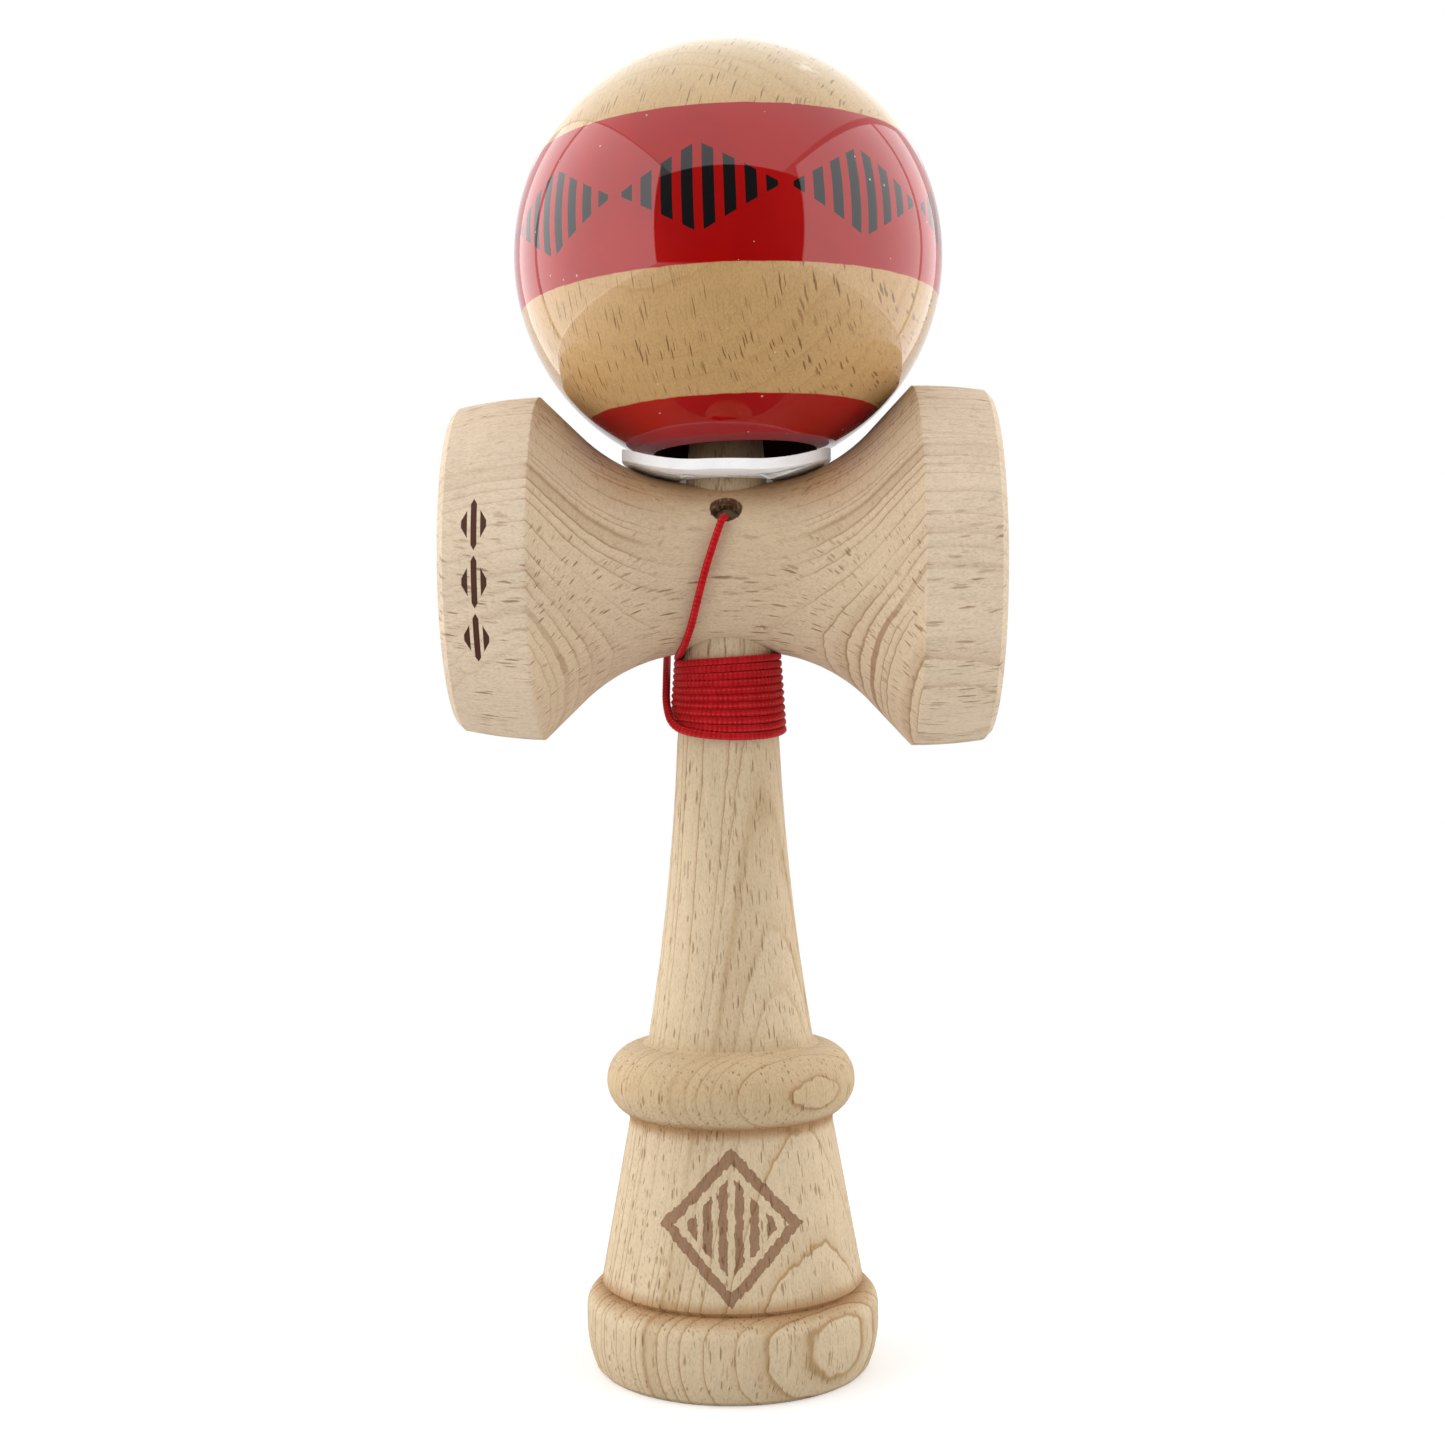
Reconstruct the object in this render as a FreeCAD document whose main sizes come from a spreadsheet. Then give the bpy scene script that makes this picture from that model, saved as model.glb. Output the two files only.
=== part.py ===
"""A wooden kendama: a turned stick with a spike and a base cup, a cross-piece with two cups,
a lacquered ball standing on the spike, the foam ring between them, and a wound cord.

Frame: millimetres, +Z up the stick, origin at the middle of the base cup's rim, where it stands.
The cups of the cross-piece open along +X (big) and -X (small), and the string hole faces -Y.
"""
import FreeCAD, Part
import math
import os

import Sketcher

DIMENSIONS = {
    # the stick, from the base upwards
    "base_cup_mouth": 15.8,
    "base_cup_depth": 8.0,
    "base_rim_inner": 16.4,
    "base_rim_outer": 18.6,
    "rim_bevel": 0.6,
    "base_ring_radius": 20.4,
    "base_ring_swell_height": 6.2,
    "base_ring_swell_radius": 14.0,
    "base_ring_shoulder_height": 8.5,
    "base_ring_shoulder_radius": 2.9,
    "base_ring_top_radius": 18.7,
    "groove_radius": 17.8,
    "groove_height": 11.4,
    "body_foot_radius": 18.3,
    "body_foot_height": 12.0,
    "body_top_radius": 14.25,
    "body_top_height": 34.2,
    "collar_section_radius": 5.0,
    "collar_centre_radius": 12.4,
    "collar_height": 39.8,
    "collar_foot_height": 35.2,
    "shaft_foot_radius": 11.6,
    "shaft_foot_height": 45.2,
    "shaft_sweep_radius": 340.0,
    "shaft_top_radius": 7.2,
    "shaft_top_height": 86.7,
    "seat_foot_radius": 6.45,
    "seat_foot_height": 98.6,
    "seat_top_radius": 5.85,
    "seat_top_height": 121.6,
    "spike_tip_radius": 2.9,
    "spike_round_height": 154.6,
    "stick_height": 157.0,
    # the cross-piece
    "cross_height": 111.4,
    "big_half_length": 36.4,
    "small_half_length": 37.5,
    "waist_radius": 11.8,
    "waist_flat_half": 3.5,
    "ridge_half_length": 25.8,
    "flare_angle": 45.0,
    "big_flare_radius": 22.8,
    "small_flare_radius": 24.0,
    "wall_swell_radius": 64.0,
    "big_ridge_radius": 25.1,
    "big_rim_radius": 24.45,
    "big_mouth_radius": 21.2,
    "big_cup_depth": 10.0,
    "small_ridge_radius": 24.0,
    "small_rim_radius": 22.6,
    "small_mouth_radius": 19.4,
    "small_cup_depth": 8.6,
    "cup_rim_bevel": 0.8,
    # the string hole, drilled square to the waist
    "string_hole_angle": 39.0,
    "cross_string_hole_radius": 2.2,
    "stick_string_hole_radius": 1.5,
    "knot_pocket_radius": 2.2,
    "knot_pocket_depth": 4.8,
    "knot_seat": 5.4,
    # the ball, the bead in it and the foam ring under it
    "ball_radius": 30.0,
    "ball_height": 154.7,
    "ball_offset": 0.5,
    "ball_lean": 1.7,
    "ball_bore_radius": 11.4,
    "ball_bore_lip": 27.0,
    "ball_bore_roof": 15.0,
    "roof_bevel": 1.5,
    "ball_mouth_radius": 14.3,
    "ball_string_hole_radius": 1.5,
    "ball_string_sink_radius": 2.4,
    "ball_string_sink_depth": 1.0,
    "bead_radius": 3.75,
    "bead_hole_radius": 0.75,
    "bead_rise": 10.6,
    "bead_knot_rise": 5.6,
    "knot_radius": 1.6,
    "bead_knot_radius": 1.3,
    "knot_flat_share": 0.6,
    "knot_bulge_share": 1.25,
    "foam_gap": 0.3,
    "foam_thickness": 1.45,
    "foam_radius": 14.75,
    "foam_hole_radius": 6.4,
    "foam_bend_radius": 23.3,
    "foam_bend_angle": 50.0,
    "paper_thickness": 0.15,
    "paper_radius": 14.0,
    "paper_front": 8.0,
    # the cord
    "cord_diameter": 1.05,
    "cord_slack": 0.05,
    "winding_top": 99.1,
    "winding_foot": 87.5,
}

# The cord's own points, in the order that it runs. The winding's turns lie between the last
# point of the front strand and the first of the riser.
HOLE_POINTS = [(0.0, 3.1, 108.9), (0.0, -5.6, 115.0)]
FRONT_POINTS = [(-0.1, -11.0, 118.4), (-1.5, -12.5, 114.4), (-2.9, -12.75, 110.0),
                (-4.0, -11.6, 105.9), (-4.8, -9.3, 102.4), (-5.6, -6.9, 100.1)]
WINDING_START = (-7.0, -1.6, 98.55)
WINDING_END = (0.4, -7.85, 88.0)
RISER_POINTS = [(-4.6, -7.6, 88.2), (-7.6, -4.8, 89.5), (-8.7, -1.4, 92.3), (-8.7, 1.9, 95.9),
                (-8.8, 6.3, 98.6), (-8.8, 11.2, 101.8), (-8.6, 14.6, 107.0), (-8.2, 15.9, 113.5),
                (-7.8, 17.4, 120.5)]
OVER_POINTS = [(-7.3, 20.6, 128.4), (-6.6, 25.8, 136.0), (-5.8, 30.0, 144.4), (-4.9, 31.2, 153.6),
               (-4.0, 30.0, 162.4), (-3.1, 26.6, 170.6), (-2.2, 21.4, 177.2), (-1.4, 14.7, 182.0),
               (-0.8, 9.0, 184.4), (-0.5, 4.3, 185.4), (-0.43, 0.0, 185.7)]
TAIL_END_RISE = 6.2
TOP_HOLE_RISE = 26.0
WHOLE_TURNS = 10

doc = FreeCAD.newDocument("kendama")
sheet = doc.addObject("Spreadsheet::Sheet", "dims")
for row, (alias, value) in enumerate(DIMENSIONS.items(), start=1):
    sheet.set("A%d" % row, alias)
    sheet.set("B%d" % row, str(value))
    sheet.setAlias("B%d" % row, alias)
doc.recompute()

NODES = []


def size(expression):
    """The number that an expression on the sheet's cells gives."""
    result = sheet.evalExpression(expression)
    return float(getattr(result, "Value", result))


def origin_plane(body, role):
    """One of the body's own origin planes."""
    return next(plane for plane in body.Origin.OriginFeatures if plane.Role == role)


def new_body(name):
    """A body whose label is the sub-part's name."""
    body = doc.addObject("PartDesign::Body", name)
    body.Label = name
    NODES.append(body)
    return body


def new_sketch(body, name, role):
    """A sketch on one of the body's origin planes."""
    sketch = body.newObject("Sketcher::SketchObject", name)
    sketch.AttachmentSupport = [(origin_plane(body, role), "")]
    sketch.MapMode = "FlatFace"
    return sketch


def hold_length(sketch, kind, places, expression):
    """Adds one dimension to a sketch and binds it to the sheet."""
    number = sketch.addConstraint(Sketcher.Constraint(kind, *places, size(expression)))
    sketch.setExpression("Constraints[%d]" % number, expression)


def hold_point(sketch, edge, end, across, up):
    """Fixes a point of an edge at two distances from the sketch's origin."""
    for axis, kind, expression in ((-2, "DistanceX", across), (-1, "DistanceY", up)):
        if abs(size(expression)) < 1e-9:
            sketch.addConstraint(Sketcher.Constraint("PointOnObject", edge, end, axis))
        else:
            hold_length(sketch, kind, (-1, 1, edge, end), expression)


def arc_between(start, end, radius, side):
    """The arc from start to end, bulging to the left (1) or the right (-1) of the way."""
    chord = end - start
    middle = (start + end) * 0.5
    left = FreeCAD.Vector(-chord.y, chord.x, 0).normalize()
    reach = math.sqrt(radius ** 2 - (chord.Length / 2) ** 2)
    crown = middle + left * side * (radius - reach)
    return Part.Arc(start, crown, end)


def draw_outline(sketch, corners):
    """Draws a closed outline. A corner is (across, up) and may add the radius and side of the
    arc that leaves it; without them a straight line leaves it."""
    points = [FreeCAD.Vector(size(corner[0]), size(corner[1]), 0) for corner in corners]
    first_edge = sketch.GeometryCount
    starts = []
    for number, corner in enumerate(corners):
        start = points[number]
        end = points[(number + 1) % len(points)]
        if len(corner) == 2:
            sketch.addGeometry(Part.LineSegment(start, end))
            starts.append((1, 2))
            continue
        curve = arc_between(start, end, size(corner[2]), corner[3])
        sketch.addGeometry(curve)
        drawn_start = sketch.getPoint(first_edge + number, 1)
        begins_here = drawn_start.distanceToPoint(start) < drawn_start.distanceToPoint(end)
        starts.append((1, 2) if begins_here else (2, 1))
    for number, corner in enumerate(corners):
        edge = first_edge + number
        following = first_edge + (number + 1) % len(corners)
        next_start = starts[(number + 1) % len(corners)][0]
        joint = Sketcher.Constraint("Coincident", edge, starts[number][1], following, next_start)
        sketch.addConstraint(joint)
    for number, corner in enumerate(corners):
        edge = first_edge + number
        hold_point(sketch, edge, starts[number][0], corner[0], corner[1])
        if len(corner) == 4:
            hold_length(sketch, "Radius", (edge,), corner[2])


def turn(body, name, corners, feature="PartDesign::Revolution", axis="V_Axis", role="XZ_Plane"):
    """Turns an outline about an axis of its sketch: a lathe-turned form or a turned cut."""
    sketch = new_sketch(body, name + "_outline", role)
    draw_outline(sketch, corners)
    turned = body.newObject(feature, name)
    turned.Profile = sketch
    turned.ReferenceAxis = (sketch, [axis])
    turned.Angle = 360
    body.Tip = turned
    doc.recompute()
    return turned


def slanted(along, aside):
    """Sketch coordinates of a place on the string hole's slanting line, in the side view."""
    cosine = "cos(dims.string_hole_angle * 1 deg)"
    sine = "sin(dims.string_hole_angle * 1 deg)"
    across = "-(%s) * %s + (%s) * %s" % (along, cosine, aside, sine)
    up = "(%s) * %s + (%s) * %s" % (along, sine, aside, cosine)
    return across, up


def drill(body, name, start, end, radius):
    """Drills a hole along the slanting line, from start to end outwards to the front."""
    sketch = new_sketch(body, name + "_outline", "YZ_Plane")
    corners = [slanted(start, "0"), slanted(end, "0"), slanted(end, radius), slanted(start, radius)]
    draw_outline(sketch, corners)
    doc.recompute()
    before = body.Shape.Volume
    hole = body.newObject("PartDesign::Groove", name)
    hole.Profile = sketch
    hole.ReferenceAxis = (sketch, ["Edge1"])
    hole.Angle = 360
    body.Tip = hole
    doc.recompute()
    if body.Shape.Volume > before - 1:
        raise RuntimeError(name + " cut nothing")


def place(body, x="0", y="0", z="0"):
    """Puts a body where it belongs and binds its place to the sheet."""
    for axis, expression in (("x", x), ("y", y), ("z", z)):
        body.setExpression("Placement.Base." + axis, expression)


def lean(body, axis, expression):
    """Turns a body about one of its own axes and binds the angle to the sheet."""
    body.Placement.Rotation = FreeCAD.Rotation(axis, size(expression))
    body.setExpression("Placement.Rotation.Angle", "(%s) * 1 deg" % expression)


def cup_radius(mouth, depth):
    """The radius of a cup's hollow from its mouth and its depth."""
    return "((%s)^2 + (%s)^2) / (2 * (%s))" % (mouth, depth, depth)


def make_stick():
    """The stick: base cup, base ring, body, collar, shaft, taper seat and spike, in one turning.
    Its own origin is level with the cross-piece, where the string's hole crosses its axis."""
    body = new_body("stick")
    low = " - dims.cross_height"
    turn(body, "stick_turning", [
        ("0", "dims.base_cup_depth" + low,
         cup_radius("dims.base_cup_mouth", "dims.base_cup_depth - dims.rim_bevel"), 1),
        ("dims.base_cup_mouth", "dims.rim_bevel" + low),
        ("dims.base_rim_inner", "0" + low),
        ("dims.base_rim_outer", "0" + low),
        ("dims.base_rim_outer + dims.rim_bevel", "dims.rim_bevel" + low,
         "dims.base_ring_swell_radius", -1),
        ("dims.base_ring_radius", "dims.base_ring_swell_height" + low),
        ("dims.base_ring_radius", "dims.base_ring_shoulder_height" + low,
         "dims.base_ring_shoulder_radius", -1),
        ("dims.base_ring_top_radius",
         "dims.base_ring_shoulder_height + sqrt(dims.base_ring_shoulder_radius^2"
         " - (dims.base_ring_top_radius - dims.base_ring_radius"
         " + dims.base_ring_shoulder_radius)^2)" + low),
        ("dims.groove_radius", "dims.groove_height" + low),
        ("dims.body_foot_radius", "dims.body_foot_height" + low),
        ("dims.body_top_radius", "dims.body_top_height" + low),
        ("dims.collar_centre_radius + sqrt(dims.collar_section_radius^2"
         " - (dims.collar_height - dims.collar_foot_height)^2)",
         "dims.collar_foot_height" + low, "dims.collar_section_radius", -1),
        ("dims.collar_centre_radius", "dims.collar_height + dims.collar_section_radius" + low),
        ("dims.shaft_foot_radius", "dims.shaft_foot_height" + low, "dims.shaft_sweep_radius", 1),
        ("dims.shaft_top_radius", "dims.shaft_top_height" + low),
        ("dims.seat_foot_radius", "dims.seat_foot_height" + low),
        ("dims.seat_top_radius", "dims.seat_top_height" + low),
        ("dims.spike_tip_radius", "dims.spike_round_height" + low,
         cup_radius("dims.spike_tip_radius", "dims.stick_height - dims.spike_round_height"), -1),
        ("0", "dims.stick_height" + low),
    ])
    pocket_foot = "dims.seat_foot_radius / cos(dims.string_hole_angle * 1 deg)"
    drill(body, "string_hole", "-(%s + 1)" % pocket_foot, "%s + 1" % pocket_foot,
          "dims.stick_string_hole_radius")
    drill(body, "knot_pocket", "-(%s + 1)" % pocket_foot,
          "-(%s - dims.knot_pocket_depth)" % pocket_foot, "dims.knot_pocket_radius")
    place(body, z="dims.cross_height")


def flare_end(radius):
    """How far along and out the waist's curve has come where it turns straight."""
    along = "dims.waist_flat_half + %s * sin(dims.flare_angle * 1 deg)" % radius
    out = "dims.waist_radius + %s * (1 - cos(dims.flare_angle * 1 deg))" % radius
    return along, out


def mirrored_back(corners):
    """The mirror image of half an outline, walked the other way. Each arc then leaves the corner
    that it used to reach, and bulges to the same side as before."""
    result = []
    for number in range(len(corners) - 1, -1, -1):
        across, up = corners[number][:2]
        arc = corners[number - 1][2:] if number > 0 else ()
        result.append(("-(%s)" % across, up) + arc)
    return result


def cup_half(name):
    """Half the cross-piece's outline, from the bottom of a cup round its rim to the waist."""
    end = "dims.%s_half_length" % name
    depth = "dims.%s_cup_depth" % name
    mouth = "dims.%s_mouth_radius" % name
    rim = "dims.%s_rim_radius" % name
    along, out = flare_end("dims.%s_flare_radius" % name)
    return [
        ("%s - %s" % (end, depth), "0", cup_radius(mouth, depth), 1),
        (end, mouth),
        (end, "%s - dims.cup_rim_bevel" % rim),
        ("%s - dims.cup_rim_bevel" % end, rim, "dims.wall_swell_radius", -1),
        ("dims.ridge_half_length", "dims.%s_ridge_radius" % name),
        (along, out, "dims.%s_flare_radius" % name, 1),
        ("dims.waist_flat_half", "dims.waist_radius"),
    ]


def make_cross_piece():
    """The cross-piece: a waist between two cups, turned about its long axis, then bored to take
    the stick's taper seat and drilled for the string. The big cup is a little shorter."""
    body = new_body("cross_piece")
    corners = cup_half("big") + mirrored_back(cup_half("small"))
    turn(body, "cross_turning", corners, axis="H_Axis")
    taper = "(dims.seat_foot_radius - dims.seat_top_radius)"
    taper += " / (dims.seat_top_height - dims.seat_foot_height)"
    reach = "(dims.waist_radius + 3)"
    foot = "dims.seat_foot_radius + %s * (dims.seat_foot_height - dims.cross_height + %s)"
    head = "dims.seat_foot_radius + %s * (dims.seat_foot_height - dims.cross_height - %s)"
    turn(body, "socket", [
        ("0", "-" + reach),
        (foot % (taper, reach), "-" + reach),
        (head % (taper, reach), reach),
        ("0", reach),
    ], feature="PartDesign::Groove")
    drill(body, "cord_hole", "0", "dims.waist_radius + 4", "dims.cross_string_hole_radius")
    place(body, z="dims.cross_height")


def make_ball():
    """The ball: turned, bored from below for the spike, and drilled at the top for the cord. It
    stands with a slight lean, because its bore is wide."""
    body = new_body("ball")
    sink = "sqrt(dims.ball_radius^2 - dims.ball_string_sink_radius^2)"
    turn(body, "ball_turning", [
        ("dims.ball_string_hole_radius", sink + " - dims.ball_string_sink_depth"),
        ("dims.ball_string_hole_radius", "dims.ball_bore_roof"),
        ("dims.ball_bore_radius - dims.roof_bevel", "dims.ball_bore_roof"),
        ("dims.ball_bore_radius", "dims.ball_bore_roof - dims.roof_bevel"),
        ("dims.ball_bore_radius", "-dims.ball_bore_lip"),
        ("dims.ball_mouth_radius", "-sqrt(dims.ball_radius^2 - dims.ball_mouth_radius^2)",
         "dims.ball_radius", -1),
        ("dims.ball_string_sink_radius", sink),
    ])
    stand_on_spike(body)


def stand_on_spike(body):
    """Gives a sub-part the ball's own place and lean."""
    lean(body, FreeCAD.Vector(0, -1, 0), "dims.ball_lean")
    place(body, x="dims.ball_offset", z="dims.ball_height")


def make_bead():
    """The bead that keeps the cord's end inside the ball."""
    body = new_body("bead")
    top = "sqrt(dims.bead_radius^2 - dims.bead_hole_radius^2)"
    turn(body, "bead_turning", [
        ("dims.bead_hole_radius", "dims.bead_rise - " + top, "dims.bead_radius", -1),
        ("dims.bead_hole_radius", "dims.bead_rise + " + top),
    ])
    stand_on_spike(body)


def make_knot(name, radius):
    """A knot pulled tight, as a short barrel about its own upright axis."""
    body = new_body(name)
    flat = radius + " * dims.knot_flat_share"
    bulge = radius + " * dims.knot_bulge_share"
    turn(body, name + "_form", [
        ("0", "-" + radius),
        (flat, "-" + radius, bulge, -1),
        (flat, radius),
        ("0", radius),
    ])
    return body


def make_knots():
    """The knot in the stick's pocket, and the knot under the bead."""
    anchor = make_knot("anchor_knot", "dims.knot_radius")
    lean(anchor, FreeCAD.Vector(1, 0, 0), "90 - dims.string_hole_angle")
    place(anchor, y="dims.knot_seat * cos(dims.string_hole_angle * 1 deg)",
          z="dims.cross_height - dims.knot_seat * sin(dims.string_hole_angle * 1 deg)")
    under_bead = make_knot("bead_knot", "dims.bead_knot_radius")
    lean(under_bead, FreeCAD.Vector(0, -1, 0), "dims.ball_lean")
    place(under_bead, x="dims.ball_offset - dims.bead_knot_rise * sin(dims.ball_lean * 1 deg)",
          z="dims.ball_height + dims.bead_knot_rise * cos(dims.ball_lean * 1 deg)")


def make_bent_disc(name, lift, thickness, radius):
    """A round sheet with the spike's hole in it, bent over the waist."""
    body = new_body(name)
    strip = new_sketch(body, name + "_section", "XZ_Plane")
    level = "dims.waist_radius + " + lift
    under = "(dims.foam_bend_radius - (%s))" % lift
    over = "(%s - %s)" % (under, thickness)
    turned = "(dims.foam_bend_angle * 1 deg)"
    flat = "dims.waist_flat_half"
    draw_outline(strip, [
        ("-" + flat, level),
        (flat, level, under, -1),
        ("%s + %s * sin(%s)" % (flat, under, turned), "%s + %s * (1 - cos(%s))" % (level, under, turned)),
        ("%s + %s * sin(%s)" % (flat, over, turned),
         "%s + %s * (1 - cos(%s)) + %s" % (level, over, turned, thickness), over, 1),
        (flat, "%s + %s" % (level, thickness)),
        ("-" + flat, "%s + %s" % (level, thickness), over, 1),
        ("-(%s + %s * sin(%s))" % (flat, over, turned),
         "%s + %s * (1 - cos(%s)) + %s" % (level, over, turned, thickness)),
        ("-(%s + %s * sin(%s))" % (flat, under, turned),
         "%s + %s * (1 - cos(%s))" % (level, under, turned), under, -1),
    ])
    bent = body.newObject("PartDesign::Pad", name + "_strip")
    bent.Profile = strip
    bent.Midplane = True
    bent.setExpression("Length", "4 * %s" % radius)
    body.Tip = bent
    doc.recompute()
    trim = new_sketch(body, name + "_trim", "XY_Plane")
    well_outside = "3 * " + radius
    for circle_radius in (well_outside, radius, "dims.foam_hole_radius"):
        edge = trim.addGeometry(Part.Circle(FreeCAD.Vector(), FreeCAD.Vector(0, 0, 1),
                                            size(circle_radius)))
        hold_point(trim, edge, 3, "0", "0")
        hold_length(trim, "Radius", (edge,), circle_radius)
    cut = body.newObject("PartDesign::Pocket", name + "_round")
    cut.Profile = trim
    cut.Type = "ThroughAll"
    cut.Midplane = True
    body.Tip = cut
    doc.recompute()
    place(body, z="dims.cross_height")
    return body


def make_paper():
    """The paper backing under the foam, torn away at the front."""
    body = make_bent_disc("foam_backing", "dims.foam_gap - dims.paper_thickness",
                          "dims.paper_thickness", "dims.paper_radius")
    torn = new_sketch(body, "torn_front", "XY_Plane")
    far = "2 * dims.paper_radius"
    draw_outline(torn, [
        ("-" + far, "-" + far),
        (far, "-" + far),
        (far, "-dims.paper_front"),
        ("-" + far, "-dims.paper_front"),
    ])
    cut = body.newObject("PartDesign::Pocket", "torn_cut")
    cut.Profile = torn
    cut.Type = "ThroughAll"
    cut.Midplane = True
    body.Tip = cut
    doc.recompute()


def make_winding():
    """The cord's close turns on the shaft, as one sleeve of their outer shape."""
    body = new_body("cord_winding")
    slope = "(dims.shaft_top_radius - dims.seat_foot_radius)"
    slope += " / (dims.seat_foot_height - dims.shaft_top_height)"
    inner = "dims.shaft_top_radius - %s * (dims.%s - dims.shaft_top_height) + dims.cord_slack"
    foot = inner % (slope, "winding_foot")
    head = inner % (slope, "winding_top")
    turn(body, "winding_sleeve", [
        (foot, "dims.winding_foot"),
        (foot + " + dims.cord_diameter", "dims.winding_foot"),
        (head + " + dims.cord_diameter", "dims.winding_top"),
        (head, "dims.winding_top"),
    ])


def rounded_path(points):
    """Straight runs through the points, joined by arcs as large as the runs allow."""
    points = [FreeCAD.Vector(*point) for point in points]
    edges = []
    here = points[0]
    radii = []
    for before, corner, after in zip(points, points[1:], points[2:]):
        coming = (before - corner).normalize()
        going = (after - corner).normalize()
        half_turn = (math.pi - coming.getAngle(going)) / 2
        reach = 0.45 * min(before.distanceToPoint(corner), corner.distanceToPoint(after))
        radius = reach / math.tan(half_turn)
        radii.append(radius)
        bisector = (coming + going).normalize()
        to_centre = math.hypot(radius, reach)
        crown = corner + bisector * (to_centre - radius)
        start = corner + coming * reach
        end = corner + going * reach
        edges.append(Part.LineSegment(here, start).toShape())
        edges.append(Part.Arc(start, crown, end).toShape())
        here = end
    edges.append(Part.LineSegment(here, points[-1]).toShape())
    return Part.Wire(edges), radii


def make_cord(name, points):
    """A plain tube for one stretch of the cord. It reads the cord's size from the sheet."""
    path, radii = rounded_path(points)
    direction = FreeCAD.Vector(*points[1]) - FreeCAD.Vector(*points[0])
    radius = size("dims.cord_diameter") / 2
    section = Part.Wire([Part.Circle(FreeCAD.Vector(*points[0]), direction, radius).toShape()])
    tube = doc.addObject("Part::Feature", name)
    tube.Label = name
    tube.Shape = path.makePipeShell([section], True, False)
    tube.Placement = FreeCAD.Placement()
    NODES.append(tube)
    wanted = math.pi * radius ** 2 * path.Length
    print("%-18s length %6.1f  volume ratio %.4f  radii %s" % (
        name, path.Length, tube.Shape.Volume / wanted, " ".join("%.1f" % r for r in radii)))
    return path.Length


def middle_of(first, second):
    """The point half-way along a run, where one stretch of cord meets the next face to face."""
    return tuple((a + b) / 2 for a, b in zip(first, second))


def on_ball_axis(rise):
    """A point on the ball's leaning axis, at a height above its centre."""
    angle = math.radians(size("dims.ball_lean"))
    across = size("dims.ball_offset") - rise * math.sin(angle)
    return (across, 0.0, size("dims.ball_height") + rise * math.cos(angle))


def make_cords():
    """The free cord, from the knot in the stick to the knot under the bead in the ball."""
    mouth = middle_of(HOLE_POINTS[-1], FRONT_POINTS[0])
    behind = middle_of(RISER_POINTS[-1], OVER_POINTS[0])
    in_hole = on_ball_axis(TOP_HOLE_RISE)
    length = make_cord("cord_anchor", HOLE_POINTS + [mouth])
    length += make_cord("cord_front_strand", [mouth] + FRONT_POINTS + [WINDING_START])
    length += make_cord("cord_riser", [WINDING_END] + RISER_POINTS + [behind])
    length += make_cord("cord_over_ball", [behind] + OVER_POINTS + [in_hole])
    length += make_cord("cord_tail", [in_hole, on_ball_axis(TAIL_END_RISE)])
    first = math.atan2(WINDING_START[1], WINDING_START[0])
    last = math.atan2(WINDING_END[1], WINDING_END[0])
    sweep = (first - last) % (2 * math.pi) + WHOLE_TURNS * 2 * math.pi
    middle_radius = (math.hypot(*WINDING_START[:2]) + math.hypot(*WINDING_END[:2])) / 2
    wound = sweep * middle_radius
    print("cord length %.0f mm, of which wound %.0f mm" % (length + wound, wound))


make_stick()
make_cross_piece()
make_ball()
make_bead()
make_knots()
make_bent_disc("foam_ring", "dims.foam_gap", "dims.foam_thickness", "dims.foam_radius")
make_paper()
make_winding()
make_cords()
doc.recompute()

for thing in doc.Objects:
    if "Invalid" in thing.State or "Error" in thing.State:
        raise RuntimeError("%s failed: %s" % (thing.Name, thing.State))
os.makedirs("parts", exist_ok=True)
for node in NODES:
    if node.Shape.isNull() or not node.Shape.isValid():
        raise RuntimeError(node.Label + " has no valid shape")
    node.Shape.exportStep("parts/%s.step" % node.Label)
    box = node.Shape.BoundBox
    print("%-18s solids %d volume %9.1f  x %.1f..%.1f y %.1f..%.1f z %.1f..%.1f" % (
        node.Label, len(node.Shape.Solids), node.Shape.Volume, box.XMin, box.XMax,
        box.YMin, box.YMax, box.ZMin, box.ZMax))
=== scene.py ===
import math

import bpy
import numpy as np
from mathutils import Matrix, Vector


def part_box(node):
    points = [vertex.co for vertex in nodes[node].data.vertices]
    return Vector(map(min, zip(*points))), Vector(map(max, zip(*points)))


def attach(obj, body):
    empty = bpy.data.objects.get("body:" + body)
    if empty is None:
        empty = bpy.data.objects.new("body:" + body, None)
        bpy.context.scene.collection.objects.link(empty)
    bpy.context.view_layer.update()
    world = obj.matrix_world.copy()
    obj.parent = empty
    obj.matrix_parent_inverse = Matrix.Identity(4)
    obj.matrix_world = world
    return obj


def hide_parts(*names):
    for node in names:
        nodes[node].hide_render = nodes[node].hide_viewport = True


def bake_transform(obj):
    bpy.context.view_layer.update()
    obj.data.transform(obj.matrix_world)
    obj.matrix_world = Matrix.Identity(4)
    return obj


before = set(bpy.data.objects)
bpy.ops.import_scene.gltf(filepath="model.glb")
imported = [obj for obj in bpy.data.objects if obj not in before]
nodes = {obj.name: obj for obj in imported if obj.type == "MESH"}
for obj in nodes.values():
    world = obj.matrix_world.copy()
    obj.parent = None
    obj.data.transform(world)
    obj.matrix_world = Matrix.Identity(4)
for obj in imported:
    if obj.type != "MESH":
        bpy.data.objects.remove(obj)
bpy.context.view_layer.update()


# ---------------------------------------------------------------------------------------------
# Stick
# One turning of pale beech, left matt: base cup, ring, tapered body, collar, shaft and spike.
# The grain runs up the stick, and a plain mark is burnt into the front of the body.
# ---------------------------------------------------------------------------------------------

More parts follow.
